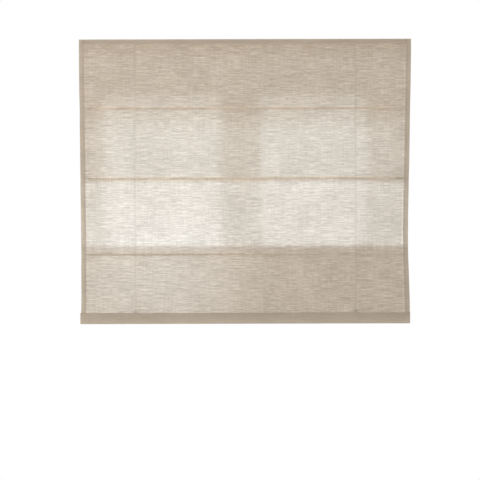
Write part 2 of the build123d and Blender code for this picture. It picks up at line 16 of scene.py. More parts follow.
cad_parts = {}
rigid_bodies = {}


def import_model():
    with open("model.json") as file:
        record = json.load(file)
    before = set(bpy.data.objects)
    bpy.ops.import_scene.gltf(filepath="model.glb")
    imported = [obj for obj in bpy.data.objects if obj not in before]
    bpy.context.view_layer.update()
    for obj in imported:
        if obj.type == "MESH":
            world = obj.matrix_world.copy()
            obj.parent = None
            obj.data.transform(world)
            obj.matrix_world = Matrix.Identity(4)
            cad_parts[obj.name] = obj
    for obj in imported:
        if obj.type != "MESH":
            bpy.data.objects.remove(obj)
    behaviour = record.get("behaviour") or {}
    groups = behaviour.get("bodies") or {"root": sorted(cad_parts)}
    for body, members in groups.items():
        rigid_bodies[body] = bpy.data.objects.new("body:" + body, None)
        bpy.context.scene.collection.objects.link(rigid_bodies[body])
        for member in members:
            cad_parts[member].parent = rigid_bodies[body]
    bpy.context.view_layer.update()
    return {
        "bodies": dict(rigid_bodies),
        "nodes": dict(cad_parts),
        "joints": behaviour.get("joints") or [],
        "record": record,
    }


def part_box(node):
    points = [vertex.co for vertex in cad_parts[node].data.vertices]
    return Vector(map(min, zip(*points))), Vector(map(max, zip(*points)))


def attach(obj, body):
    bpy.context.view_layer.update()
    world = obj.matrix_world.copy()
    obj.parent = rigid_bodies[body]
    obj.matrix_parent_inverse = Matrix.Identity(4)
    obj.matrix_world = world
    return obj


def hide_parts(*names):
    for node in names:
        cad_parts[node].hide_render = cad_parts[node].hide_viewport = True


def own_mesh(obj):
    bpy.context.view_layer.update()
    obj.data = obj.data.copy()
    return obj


Array = np.ndarray
Colour = tuple[float, float, float, float]
Cells = tuple[float, float, float]
Span = tuple[float, float]
Piece = bpy.types.Object
Finish = bpy.types.Material
Socket = bpy.types.NodeSocket
MM = 0.001
TURN = 2.0 * math.pi
BACK_LAYER = -8.0
OUTWARD = np.array((0.0, -1.0, 0.0))
LOG = logging.getLogger("roman_blind")


def srgb(red: float, green: float, blue: float) -> Colour:
    """Linear colour with full alpha from sRGB values of 0 to 255."""
    share = np.array((red, green, blue)) / 255.0
    linear = np.where(share <= 0.04045, share / 12.92, ((share + 0.055) / 1.055) ** 2.4)
    return (*(float(value) for value in linear), 1.0)


def smooth_curve(at: Array, knots: Array, values: Array) -> Array:
    """Curve through given knots, as cubic pieces whose slopes come from the neighbouring knots.

    Args:
        at: places to read the curve at.
        knots: rising places of the knots.
        values: the curve's value at each knot.

    Returns:
        The curve's value at every place.
    """
    slopes = np.gradient(values, knots)
    piece = np.clip(np.searchsorted(knots, at) - 1, 0, len(knots) - 2)
    span = knots[piece + 1] - knots[piece]
    s = np.clip((at - knots[piece]) / span, 0.0, 1.0)
    rise = s * s * (3.0 - 2.0 * s)
    bend = span * (s * (1.0 - s) ** 2 * slopes[piece] - s * s * (1.0 - s) * slopes[piece + 1])
    return values[piece] * (1.0 - rise) + values[piece + 1] * rise + bend


def bump_at(distance: Array, width: float) -> Array:
    """Bell curve of height 1 and the given half width."""
    return np.exp(-((distance / width) ** 2))


def stripe_at(distance: Array, stripe: Span) -> Array:
    """Bell curve of height 1, placed and as wide as the stripe's two values say."""
    return bump_at(distance - stripe[0], stripe[1])


def soft_step(distance: Array, softness: float) -> Array:
    """1 well below zero distance and 0 well above it, eased over the softness."""
    return 1.0 / (1.0 + np.exp(distance / softness))


def half_turn(count: int) -> Array:
    """Angles inside half a turn, evenly apart, with both ends left out."""
    return np.linspace(0.0, math.pi, count + 2)[1:-1]


def full_turn(count: int) -> Array:
    """Angles round a full turn, evenly apart."""
    return np.linspace(0.0, TURN, count, endpoint=False)


def as_points(x: Array | float, y: Array | float, z: Array | float) -> Array:
    """Points from three coordinates, each spread to the shape of the grid."""
    return np.stack(np.broadcast_arrays(x, y, z), axis=-1)


def middle_of(node: str) -> list[float]:
    """Middle of a solid's box."""
    return [(a + b) / 2.0 for a, b in zip(*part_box(node))]


@dataclass(frozen=True)
class Ripple:
    """Gentle unevenness: a sum of sine waves of fixed random heading, length and phase."""

    seed: int
    shortest: float
    longest: float
    count: int = 8

    def at(self, x: Array, z: Array) -> Array:
        """Height of the ripple, mostly between -1 and 1.

        Args:
            x: places along the width.
            z: places along the drop, in a shape that x can be spread to.

        Returns:
            One height for each place.
        """
        draw = np.random.default_rng(self.seed)
        lengths = draw.uniform(self.shortest, self.longest, self.count)
        headings = draw.uniform(0.0, TURN, self.count)
        phases = draw.uniform(0.0, TURN, self.count)
        along = x[..., None] * np.cos(headings) + z[..., None] * np.sin(headings)
        waves = np.sin(TURN * along / lengths + phases)
        return waves.sum(axis=-1) / math.sqrt(2.0 * self.count)


def lattice_faces(rows: int, columns: int, wrap_columns: bool = False, wrap_rows: bool = False) -> Array:
    """Quads of a grid of points, wound so that rows going down and columns going right face -Y.

    Args:
        rows: number of rows of points.
        columns: number of points in a row.
        wrap_columns: whether the last column joins the first.
        wrap_rows: whether the last row joins the first.

    Returns:
        An array of four point numbers for each quad.
    """
    across = np.arange(columns if wrap_columns else columns - 1)
    down = np.arange(rows if wrap_rows else rows - 1)[:, None]
    upper, lower = down * columns, (down + 1) % rows * columns
    beside = (across + 1) % columns
    quads = np.stack((upper + across, lower + across, lower + beside, upper + beside), axis=-1)
    return quads.reshape(-1, 4)


def end_caps(rows: int, columns: int) -> Array:
    """The two polygons that close a tube of wrapped rows, as point numbers."""
    ring = np.arange(columns)
    return np.stack((ring, (rows - 1) * columns + ring[::-1]))


def new_piece(name: str, points: Array, faces: Array | list, **shades: Array) -> Piece:
    """Smooth-shaded mesh object at the origin.

    Args:
        name: the piece's name.
        points: places of its points, in any grid shape.
        faces: point numbers of its faces.
        shades: values for its points, each kept as the attribute of that name.

    Returns:
        The linked object.
    """
    mesh = bpy.data.meshes.new(name)
    mesh.from_pydata(points.reshape(-1, 3), [], faces)
    mesh.polygons.foreach_set("use_smooth", np.ones(len(mesh.polygons), dtype=bool))
    for shade, values in shades.items():
        values = np.broadcast_to(values, points.shape[:-1]).astype(np.float32)
        mesh.attributes.new(shade, "FLOAT", "POINT").data.foreach_set("value", values.ravel())
    mesh.update()
    piece = bpy.data.objects.new(name, mesh)
    bpy.context.scene.collection.objects.link(piece)
    return piece


class NodeGraph:
    """A node tree, with short ways to add and join nodes."""

    def __init__(self, tree: bpy.types.NodeTree) -> None:
        """Keeps the tree."""
        self.tree = tree

    def feed(self, node: bpy.types.Node, key: str | int, value: object) -> None:
        """Links a socket to a node's input, or sets the input to a constant.

        Args:
            node: the node to feed.
            key: name or number of its input.
            value: socket or constant.
        """
        if isinstance(value, Socket):
            self.tree.links.new(value, node.inputs[key])
        else:
            node.inputs[key].default_value = value

    def add(self, kind: str, inputs: dict | None = None, **settings: object) -> bpy.types.Node:
        """New shader node.

        Args:
            kind: node type without its "ShaderNode" start.
            inputs: sockets or constants for its inputs.
            settings: attributes of the node itself.

        Returns:
            The node.
        """
        node = self.tree.nodes.new(f"ShaderNode{kind}")
        for key, value in settings.items():
            setattr(node, key, value)
        for key, value in (inputs or {}).items():
            self.feed(node, key, value)
        return node


class ShaderGraph(NodeGraph):
    """A material's node tree, with the patterns and shaders that the finishes share."""

    def __init__(self, name: str) -> None:
        """Starts an empty material with Object coordinates ready to read."""
        self.material = bpy.data.materials.new(name)
        self.material.use_nodes = True
        super().__init__(self.material.node_tree)
        self.tree.nodes.clear()
        self.output = self.add("OutputMaterial")
        self.place = self.add("TexCoord").outputs["Object"]

    def noise(self, cells: Cells, detail: float = 2.0) -> Socket:
        """Cloudy noise from 0 to 1.

        Args:
            cells: how many cells there are to a metre along each axis.
            detail: how many finer layers it has.

        Returns:
            The noise's socket.
        """
        moved = self.add("Mapping", {"Vector": self.place, "Scale": cells})
        node = self.add("TexNoise", {"Vector": moved.outputs[0], "Scale": 1.0, "Detail": detail})
        return node.outputs["Fac"]

    def bands(self, axis: str, pitch: float, waver: float) -> Socket:
        """Parallel ridges from 0 to 1: a sine wave along an axis, wavering a little.

        Args:
            axis: letter of the axis.
            pitch: distance between ridges.
            waver: strength of the wavering.

        Returns:
            The ridges' socket.
        """
        waves_per_scale = 20.0 / TURN
        inputs = {"Vector": self.place, "Scale": 1.0 / (pitch * waves_per_scale), "Distortion": waver}
        return self.add("TexWave", inputs, wave_type="BANDS", bands_direction=axis).outputs["Fac"]

    def remap(self, value: Socket, source: Span, target: Span = (0.0, 1.0)) -> Socket:
        """Value taken from one range to another, held inside it."""
        ends = dict(zip(("From Min", "From Max", "To Min", "To Max"), source + target))
        return self.add("MapRange", {"Value": value, **ends}).outputs["Result"]

    def sum_of(self, *weighted: tuple[Socket, float]) -> Socket:
        """Sum of values, each times its weight.

        Args:
            weighted: pairs of a value's socket and its weight.

        Returns:
            The sum's socket.
        """
        total: object = 0.0
        for value, weight in weighted:
            node = self.add("Math", {0: value, 1: weight, 2: total}, operation="MULTIPLY_ADD")
            total = node.outputs[0]
        return total

    def times(self, first: Socket, second: object) -> Socket:
        """Product of two values."""
        return self.add("Math", {0: first, 1: second}, operation="MULTIPLY").outputs[0]

    def colour_between(self, share: object, first: object, second: object, blend: str = "MIX") -> Socket:
        """Mix of two colours or sockets by the second one's share, in a blend mode of Blender's."""
        node = self.add("Mix", {0: share, 6: first, 7: second}, data_type="RGBA", blend_type=blend)
        return node.outputs[2]

    def bump(self, height: Socket, strength: float, depth: float) -> Socket:
        """Surface direction tilted by a height pattern."""
        node = self.add("Bump", {"Height": height, "Strength": strength, "Distance": depth})
        return node.outputs["Normal"]

    def surface(
        self, colour: Socket, rough: object, tilt: Socket, levels: dict[str, float]
    ) -> bpy.types.Node:
        """Principled shader, with constant levels set on its own sockets."""
        inputs = {"Base Color": colour, "Roughness": rough, "Normal": tilt, **levels}
        return self.add("BsdfPrincipled", inputs)

    def close(self, shader: bpy.types.Node) -> Finish:
        """The finished material, showing this shader."""
        self.tree.links.new(shader.outputs[0], self.output.inputs["Surface"])
        return self.material


@dataclass(frozen=True)
class LinenFinish:
    """Matte slub weave that lets some light through between its yarns."""

    name: str
    thin_yarn: Colour
    thick_yarn: Colour
    passed_light: Colour
    openness: Span
    weft_pitch: float = 1.25 * MM
    warp_pitch: float = 1.05 * MM
    slub_cells: Cells = (15.0, 1.0, 330.0)
    fine_cells: Cells = (48.0, 1.0, 520.0)
    warp_cells: Cells = (420.0, 1.0, 9.0)
    cloud_cells: Cells = (7.0, 1.0, 11.0)
    yarn_spread: Span = (0.38, 0.56)
    hem_calm: float = 0.65
    weave_depth: float = 0.5 * MM

    def make(self) -> Finish:
        """Long crosswise slubs over fine crossed yarns, calmer and denser where "doubled" is high.

        Returns:
            The material.
        """
        graph = ShaderGraph(self.name)
        slub = graph.noise(self.slub_cells, detail=3.0)
        fine, warp = graph.noise(self.fine_cells), graph.noise(self.warp_cells)
        yarns = graph.sum_of((slub, 0.45), (fine, 0.4), (warp, 0.15))
        doubled = graph.add("Attribute", attribute_name="doubled").outputs["Fac"]
        tone = graph.add("Attribute", attribute_name="tone").outputs["Fac"]
        calm = graph.times(doubled, self.hem_calm)
        thickness = graph.remap(yarns, self.yarn_spread)
        thickness = graph.add("Mix", {0: calm, 2: thickness, 3: 0.5}, data_type="FLOAT").outputs[0]
        # tone carries the painted shade and painted light of each cloth piece; the cloud noise adds random
        # clouding
        shade = graph.times(tone, graph.remap(graph.noise(self.cloud_cells), (0.3, 0.7), (0.95, 1.04)))
        colour = graph.colour_between(thickness, self.thin_yarn, self.thick_yarn)
        colour = graph.colour_between(1.0, colour, shade, blend="MULTIPLY")
        light = graph.colour_between(1.0, self.passed_light, shade, blend="MULTIPLY")
        warps, wefts = graph.bands("X", self.warp_pitch, 1.5), graph.bands("Z", self.weft_pitch, 2.5)
        crossing = graph.times(warps, wefts)
        tilt = graph.bump(graph.sum_of((thickness, 0.6), (crossing, 0.4)), 0.45, self.weave_depth)
        rough = graph.remap(thickness, (0.0, 1.0), (0.8, 0.95))
        levels = {"Specular IOR Level": 0.2, "Sheen Weight": 0.08, "Sheen Roughness": 0.5}
        cloth = graph.surface(colour, rough, tilt, levels)
        through = graph.add("BsdfTranslucent", {"Color": light, "Normal": tilt})
        gap = graph.remap(thickness, (0.0, 1.0), self.openness[::-1])
        gap = graph.times(gap, graph.remap(doubled, (BACK_LAYER, 1.0), (1.8, 0.9)))
        return graph.close(graph.add("MixShader", {0: gap, 1: cloth.outputs[0], 2: through.outputs[0]}))


@dataclass(frozen=True)
class PileFinish:
    """Short stiff pile of hook or loop tape."""

    name: str
    # root is a darker colour painted low in the pile as shade between the tufts; tip is the pile's own
    # colour
    root: Colour
    tip: Colour
    tufts_to_metre: float = 900.0
    fuzz_cells: Cells = (260.0, 260.0, 260.0)
    pile_depth: float = 0.5 * MM

    def make(self) -> Finish:
        """Tiny round tufts with fuzz between them, coloured darker low in the pile as painted shade between
        the tufts.

        Returns:
            The material.
        """
        graph = ShaderGraph(self.name)
        cells = {"Vector": graph.place, "Scale": self.tufts_to_metre}
        tufts = graph.add("TexVoronoi", cells).outputs["Distance"]
        fuzz = graph.noise(self.fuzz_cells, detail=3.0)
        height = graph.sum_of((graph.remap(tufts, (0.0, 0.7), (1.0, 0.0)), 0.7), (fuzz, 0.3))
        # painted shade: the low parts of the pile take the darker root colour
        colour = graph.colour_between(height, self.root, self.tip)
        tilt = graph.bump(height, 0.8, self.pile_depth)
        return graph.close(graph.surface(colour, 0.9, tilt, {"Sheen Weight": 0.2}))


class Grain(Enum):
    """Which way a metal's drawing or brushing lines run, as noise cells to a metre."""

    ALONG_WIDTH = (6.0, 1500.0, 1500.0)
    NONE = (380.0, 380.0, 380.0)


@dataclass(frozen=True)
class MetalFinish:
    """Bare or plated metal with fine lines, or with plating blotches where it has no grain."""

    name: str
    dull: Colour
    bright: Colour
    roughness: Span
    grain: Grain
    blotch_cells: Cells = (35.0, 60.0, 60.0)
    spread: Span = (0.35, 0.65)
    line_depth: float = 0.1 * MM

    def make(self) -> Finish:
        """Metal whose lines and blotches vary its colour and its shine.

        Returns:
            The material.
        """
        graph = ShaderGraph(self.name)
        lines = graph.noise(self.grain.value, detail=3.0)
        wear = graph.sum_of((lines, 0.6), (graph.noise(self.blotch_cells, detail=3.0), 0.4))
        colour = graph.colour_between(graph.remap(wear, self.spread), self.dull, self.bright)
        rough = graph.remap(wear, self.spread, self.roughness)
        tilt = graph.bump(lines, 0.15, self.line_depth)
        return graph.close(graph.surface(colour, rough, tilt, {"Metallic": 1.0}))


@dataclass(frozen=True)
class ShellFinish:
    """Moulded plastic, powder coat or resin: an even skin with a fine skin texture."""

    name: str
    base: Colour
    shade: Colour
    roughness: Span
    skin_cells: Cells
    skin_depth: float
    milkiness: float = 0.0
    gloss_coat: float = 0.0
    cloud_cells: Cells = (28.0, 40.0, 40.0)

    def make(self) -> Finish:
        """Faint clouding, a skin texture and an uneven shine.

        Returns:
            The material.
        """
        graph = ShaderGraph(self.name)
        skin = graph.noise(self.skin_cells)
        cloud = graph.noise(self.cloud_cells, detail=3.0)
        share = graph.remap(graph.sum_of((skin, 0.35), (cloud, 0.65)), (0.35, 0.65))
        colour = graph.colour_between(share, self.base, self.shade)
        rough = graph.remap(share, (0.0, 1.0), self.roughness)
        tilt = graph.bump(skin, 0.3, self.skin_depth)
        levels = {
            "Subsurface Weight": self.milkiness,
            "Subsurface Scale": MM,
            "Coat Weight": self.gloss_coat,
        }
        return graph.close(graph.surface(colour, rough, tilt, levels))


@dataclass(frozen=True)
class ThreadFinish:
    """Twisted yarn of stitches and cords."""

    name: str
    pale: Colour
    deep: Colour
    cells: Cells
    twist_depth: float = 0.15 * MM

    def make(self) -> Finish:
        """Matte yarn with flecks of fibre.

        Returns:
            The material.
        """
        graph = ShaderGraph(self.name)
        fleck = graph.noise(self.cells, detail=3.0)
        colour = graph.colour_between(graph.remap(fleck, (0.35, 0.65)), self.deep, self.pale)
        tilt = graph.bump(fleck, 0.5, self.twist_depth)
        return graph.close(graph.surface(colour, 0.8, tilt, {"Sheen Weight": 0.15}))


LINEN = LinenFinish(
    "linen_cloth", srgb(240, 224, 204), srgb(184, 167, 146), srgb(213, 206, 197), (0.29, 0.48)
)
SLEEVE_LINEN = LinenFinish(
    "sleeve_linen", srgb(222, 207, 186), srgb(196, 179, 157), srgb(240, 238, 235), (0.76, 0.88)
)
THREAD = ThreadFinish("sewing_thread", srgb(208, 200, 187), srgb(184, 174, 159), (900.0, 900.0, 900.0))
CORD_YARN = ThreadFinish("cord_yarn", srgb(226, 219, 205), srgb(196, 186, 168), (700.0, 700.0, 300.0))

SLOT_FINISHES = {
    "tape": PileFinish("tape_pile", srgb(186, 180, 170), srgb(232, 228, 220)),
    "rail_aluminium": ShellFinish(
        "powder_coat", srgb(238, 238, 235), srgb(229, 229, 225), (0.34, 0.46),
        skin_cells=(650.0, 650.0, 650.0), skin_depth=0.06 * MM,
    ),
    "bar_aluminium": MetalFinish(
        "mill_aluminium", srgb(176, 178, 180), srgb(210, 212, 214), (0.28, 0.45), Grain.ALONG_WIDTH
    ),
    "zinc_steel": MetalFinish(
        "zinc_plate", srgb(168, 171, 176), srgb(205, 207, 208), (0.28, 0.48), Grain.NONE
    ),
    "shaft_steel": MetalFinish(
        "drawn_steel", srgb(148, 150, 154), srgb(188, 190, 193), (0.25, 0.4), Grain.ALONG_WIDTH
    ),
    "spring_steel": MetalFinish(
        "blued_strip", srgb(70, 76, 92), srgb(112, 116, 126), (0.22, 0.36), Grain.ALONG_WIDTH
    ),
    "rod_glass_fibre": ShellFinish(
        "glass_fibre", srgb(236, 235, 226), srgb(214, 213, 200), (0.3, 0.5),
        skin_cells=(8.0, 1600.0, 1600.0), skin_depth=0.05 * MM, gloss_coat=0.3,
    ),
    "white_plastic": ShellFinish(
        "white_moulding", srgb(240, 240, 237), srgb(230, 230, 226), (0.36, 0.5),
        skin_cells=(420.0, 420.0, 420.0), skin_depth=0.04 * MM,
    ),
    "clear_plastic": ShellFinish(
        "natural_moulding", srgb(224, 225, 220), srgb(206, 208, 203), (0.25, 0.38),
        skin_cells=(300.0, 300.0, 300.0), skin_depth=0.03 * MM, milkiness=0.35,
    ),
}


@dataclass(frozen=True)
class BlindPlan:
    """Places of the lowered blind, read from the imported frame."""

    left: float
    right: float
    top: float
    bottom: float
    anchor: float
    travel: float
    sheet_y: float
    seams: tuple[float, ...]
    half_pocket: float
    cord_offset: float
    top_hem_height: float = 18.0 * MM
    bottom_hem_height: float = 40.0 * MM
    side_hem_width: float = 18.0 * MM
    half_sheet: float = 0.4 * MM

    @classmethod
    def from_frame(cls, frame: dict) -> "BlindPlan":
        """Plan measured on the cloth and the rod pockets.

        Args:
            frame: what the frame's loader returned.

        Returns:
            The plan.
        """
        low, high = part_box("fabric")
        pockets = [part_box(f"rod_pocket_{number}") for number in (1, 2, 3)]
        lift = next(joint for joint in frame["joints"] if joint["name"] == "bar_lift")
        pocket_low, pocket_high = pockets[0]
        return cls(
            left=low.x,
            right=high.x,
            top=high.z,
            bottom=low.z,
            anchor=high.z - cls.top_hem_height,
            travel=lift["range_m"][1],
            sheet_y=pocket_low.y - cls.half_sheet,
            seams=tuple((a.z + b.z) / 2.0 for a, b in pockets),
            half_pocket=(pocket_high.z - pocket_low.z) / 2.0,
            cord_offset=middle_of("lift_cord_right")[0],
        )

    @property
    def hem_top(self) -> float:
        """Height of the bottom hem's upper edge."""
        return self.bottom + self.bottom_hem_height

    @property
    def rise(self) -> float:
        """Share of the panels' drop that is taken up when the bar is fully up."""
        return self.travel / (self.anchor - self.hem_top)

    def halves(self) -> list["HalfPanel"]:
        """Upper and lower half of every panel.

        Returns:
            The halves, from the top hem down to the bottom hem.
        """
        held = (self.anchor, *self.seams, self.hem_top)
        rods = [(f"rod_{number}_body", f"rod_{number}") for number in (1, 2, 3)]
        holders = [("headrail_body", "loop_tape"), *rods, ("bottom_bar_body", "bottom_bar")]
        found = []
        for number, (above, below) in enumerate(zip(held, held[1:]), start=1):
            fold = (above + below) / 2.0
            found.append(HalfPanel(number, Half.UPPER, *holders[number - 1], above, fold))
            found.append(HalfPanel(number, Half.LOWER, *holders[number], below, fold))
        return found


class Half(Enum):
    """Which half of a panel: the value is the side of its held line, 1 above its fold and -1 below."""

    UPPER = 1.0
    LOWER = -1.0


@dataclass(frozen=True)
class HalfPanel:
    """Half of a panel, held along one line and folding forward along the other as the bar rises."""

    number: int
    half: Half
    body: str
    holder: str
    held: float
    fold: float
    keep: float = 0.05

    @property
    def label(self) -> str:
        """The half's own part of a piece's name."""
        return f"{self.number}_{self.half.name.lower()}"

    @property
    def top(self) -> float:
        """Height of the half's upper line."""
        return max(self.held, self.fold)

    @property
    def bottom(self) -> float:
        """Height of the half's lower line."""
        return min(self.held, self.fold)

    def axis(self, rise: float, bulge: float) -> tuple[float, float, float]:
        """Direction to flatten along, tilted so that both halves of a panel still meet at their fold.

        The fold line lies a drop L from the held line and a bulge b in front of it. Flattening by a share k
        along an axis at an angle a to the vertical lifts it by k (L cos a - b sin a) cos a, which has to be
        the rise times L.

        Args:
            rise: share of the drop that is taken up.
            bulge: how far the fold line stands in front of the held line at rest.

        Returns:
            The axis, of length 1.
        """
        drop = abs(self.held - self.fold)
        reach = drop * (2.0 * rise / (1.0 - self.keep) - 1.0)
        angle = (math.acos(reach / math.hypot(drop, bulge)) - math.atan2(bulge, drop)) / 2.0
        return (0.0, -self.half.value * math.sin(angle), math.cos(angle))


class ClothForm:
    """The cloth's shape and painted shading: its side edges, how far it stands forward, and the shade and
    light painted on it.
    """

    edge_shares = np.array((0.0, 0.18, 0.35, 0.52, 0.69, 0.83, 0.95, 1.0))
    left_insets = np.array((0.0, 2.0, 4.0, 5.2, 7.4, 7.6, 6.6, 3.2)) * MM
    right_insets = np.array((0.0, 3.6, 7.2, 10.8, 14.0, 11.0, 7.6, 6.5)) * MM
    edge_shake = 0.25 * MM
    panel_bow = 3.8 * MM
    drape_depth = 1.9 * MM
    fold_calm = 26.0 * MM
    fold_flat = 2.0 * MM
    fold_gap = 0.02 * MM
    lip_rise = 0.4 * MM
    lip_offset = 4.2 * MM
    lip_width = 3.0 * MM
    lip_waver = 0.25
    pucker_rise = 0.3 * MM
    pucker_reach = 16.0 * MM
    pucker_stretch = 0.2
    seam_waver = 0.8 * MM
    stitch_inset = 15.5 * MM
    stitch_sink = 0.35 * MM
    stitch_width = 1.2 * MM
    hem_rise = 0.35 * MM
    hem_ease = 0.6 * MM
    hem_edge = 0.5 * MM
    # painted shade on the doubled side hems
    hem_shade = 0.13
    # painted highlight along the folded side edges, placed by edge_stripe
    painted_edge_highlight = 0.06
    edge_stripe = (4.0 * MM, 5.0 * MM)
    # painted shade along the side hems' stitch lines
    stitch_shade = 0.06
    # this line and the next four set the painted shadow line along each rod seam, where the sleeve behind
    # blocks light
    painted_seam_shadow = 0.1
    seam_shadow_level = 0.9
    seam_shadow_waver = 0.5
    seam_shadow_range = (0.3, 1.5)
    seam_shadow_width = 1.4 * MM
    # painted light on a band round each rod seam, lifting the shadow of the sleeve behind: its width, its
    # fade near the side hems, and its strength at each seam
    seam_light_width = 5.5 * MM
    seam_light_margin = 40.0 * MM
    painted_seam_light = np.array((0.24, 0.31, 0.09))
    hole_openness = (4.0, 0.8)
    hole_stripe = (2.0 * MM, 1.4 * MM)
    # painted light shining through the needle holes beside the side hems, stronger on the right
    painted_hole_light = (0.14, 0.03)
    hole_light_stripe = (2.5 * MM, 1.6 * MM)
    # painted shadow lines of the lift cords behind the cloth
    cord_shade = 0.11
    line_width = 2.4 * MM
    # painted shadows of the cord knots behind the cloth, just above the bottom hem
    knot_shade = 0.3
    knot_size = (10.0 * MM, 6.0 * MM)
    knot_rise = 3.0 * MM

    def __init__(self, plan: BlindPlan) -> None:
        """Keeps the plan and sets out the random ripples."""
        self.plan = plan
        self.drape = Ripple(seed=11, shortest=0.16, longest=0.55)
        self.pucker = Ripple(seed=23, shortest=0.022, longest=0.06)
        self.waver = Ripple(seed=37, shortest=0.05, longest=0.4)
        self.edge_waver = Ripple(seed=41, shortest=0.03, longest=0.25)

    def edges(self, z: Array) -> tuple[Array, Array]:
        """Left and right edge at each height: straight at the top, drawn in towards the lower rods.

        Args:
            z: heights.

        Returns:
            The left and the right edge's x.
        """
        share = (self.plan.top - z) / (self.plan.top - self.plan.bottom)
        shake = self.edge_shake * (1.0 + self.edge_waver.at(np.zeros_like(z), z))
        left = self.plan.left + shake + smooth_curve(share, self.edge_shares, self.left_insets)
        right = self.plan.right - shake - smooth_curve(share, self.edge_shares, self.right_insets)
        return left, right

    def across(self, z: Array, share: Array, shift: Array) -> Array:
        """Place along the width of columns at a share of the way between the edges, plus a shift."""
        left, right = self.edges(z)
        return left * (1.0 - share) + right * share + shift

    def bow(self, z: Array) -> Array:
        """Share of each panel's forward bulge: a parabola between two flat stretches.

        Args:
            z: heights.

        Returns:
            A share from 0 to 1 for each height.
        """
        plan = self.plan
        upper = np.array((plan.anchor, *(seam - plan.half_pocket for seam in plan.seams)))
        lower = np.array((*(seam + plan.half_pocket for seam in plan.seams), plan.hem_top))
        s = np.clip((upper - z[..., None]) / (upper - lower), 0.0, 1.0)
        return (4.0 * s * (1.0 - s)).sum(axis=-1)

    def nearest_seam(self, z: Array) -> Array:
        """Number of the nearest rod seam, counted from 0 at the top."""
        return np.abs(z[..., None] - np.array(self.plan.seams)).argmin(axis=-1)

    def from_seam(self, x: Array, z: Array) -> Array:
        """Height above the nearest rod seam, whose line wavers a little along the width."""
        nearest = z - np.array(self.plan.seams)[self.nearest_seam(z)]
        return nearest - self.seam_waver * self.waver.at(x, np.round(z - nearest, 3))

    def side_inset(self, x: Array, z: Array) -> Array:
        """Distance in from the nearer side edge."""
        left, right = self.edges(z)
        return np.minimum(x - left, right - x)

    def front_y(self, x: Array, z: Array) -> Array:
        """Where the cloth's middle layer lies: flat at hems and rods, bowed, rippled and puckered between.

        Args:
            x: places along the width.
            z: heights, in a shape that x can be spread to.

        Returns:
            The y of each place.
        """
        x, z = np.broadcast_arrays(x, z)
        bow = self.bow(z)
        seam = self.from_seam(x, z)
        inset = self.side_inset(x, z)
        lips = bump_at(np.abs(seam) - self.lip_offset, self.lip_width)
        near_seam = bump_at(seam, self.pucker_reach) * (1.0 - bump_at(seam, self.lip_width))
        folds = np.array([part.fold for part in self.plan.halves()])
        from_fold = np.abs(z[..., None] - folds).min(axis=-1)
        slack = self.drape_depth * np.sqrt(bow) * (1.0 - bump_at(from_fold, self.fold_calm))
        forward = self.panel_bow * bow + slack * self.drape.at(x, z)
        uneven = 1.0 - self.lip_waver + self.lip_waver * self.waver.at(x, z)
        forward = forward + self.lip_rise * lips * uneven
        forward = forward + self.pucker_rise * near_seam * self.pucker.at(x, self.pucker_stretch * z)
        hem = soft_step(inset - self.plan.side_hem_width, self.hem_ease)
        sunk = self.stitch_sink * bump_at(inset - self.stitch_inset, self.stitch_width)
        forward = forward + (hem * self.hem_rise - sunk) * (1.0 - bump_at(from_fold, self.fold_flat))
        return self.plan.sheet_y - forward

    def doubled(self, x: Array, z: Array) -> Array:
        """1 where a side hem doubles the cloth, below 0 along its needle holes, else 0.

        Args:
            x: places along the width.
            z: heights, in a shape that x can be spread to.

        Returns:
            One value for each place.
        """
        x, z = np.broadcast_arrays(x, z)
        past_hem = self.side_inset(x, z) - self.plan.side_hem_width
        holes = stripe_at(past_hem, self.hole_stripe) * np.where(x > 0.0, *self.hole_openness)
        return soft_step(past_hem, self.hem_edge) - holes

    def tone(self, x: Array, z: Array) -> Array:
        """Painted shade and light of the cloth: shaded side hems and stitch lines, painted highlights on
        the folded edges, painted light and shadow at the rod seams, painted light at the needle holes, and
        painted shadows of the cords and knots behind.

        Args:
            x: places along the width.
            z: heights, in a shape that x can be spread to.

        Returns:
            One factor for each place, 1 on plain cloth.
        """
        x, z = np.broadcast_arrays(x, z)
        inset = self.side_inset(x, z)
        past_hem = inset - self.plan.side_hem_width
        hem = soft_step(past_hem, self.hem_edge)
        seam = self.from_seam(x, z)
        # painted light round the rod seams, faded out near the side hems
        away = 1.0 - bump_at(past_hem, self.seam_light_margin)
        taut = self.painted_seam_light[self.nearest_seam(z)] * bump_at(seam, self.seam_light_width) * away
        # painted shadow line along the rod seam, uneven along the width
        uneven = np.clip(self.seam_shadow_level + self.seam_shadow_waver * self.waver.at(x, z), *self.seam_shadow_range)
        needle = bump_at(seam, self.seam_shadow_width) * uneven
        # painted highlight on the folded edge, and painted shade along the side hem's stitch line
        pale = stripe_at(inset, self.edge_stripe)
        line = bump_at(inset - self.stitch_inset, self.line_width)
        # painted light at the needle holes beside the side hems
        holes = stripe_at(past_hem, self.hole_light_stripe) * np.where(x > 0.0, *self.painted_hole_light)
        # painted shadows of the lift cords and their knots behind the cloth
        from_cord = np.abs(x) - self.plan.cord_offset
        cord = bump_at(from_cord, self.line_width)
        from_knot = z - self.plan.hem_top - self.knot_rise
        knot = bump_at(from_cord, self.knot_size[0]) * bump_at(from_knot, self.knot_size[1])
        # painted shade on the side hems, with the painted highlight, stitch-line shade and needle-hole
        # light beside them
        sides = self.painted_edge_highlight * pale - self.hem_shade * hem - self.stitch_shade * line + holes
        seams = (taut - self.painted_seam_shadow * needle) * (1.0 - hem)
        return 1.0 + sides + seams - self.cord_shade * cord - self.knot_shade * knot


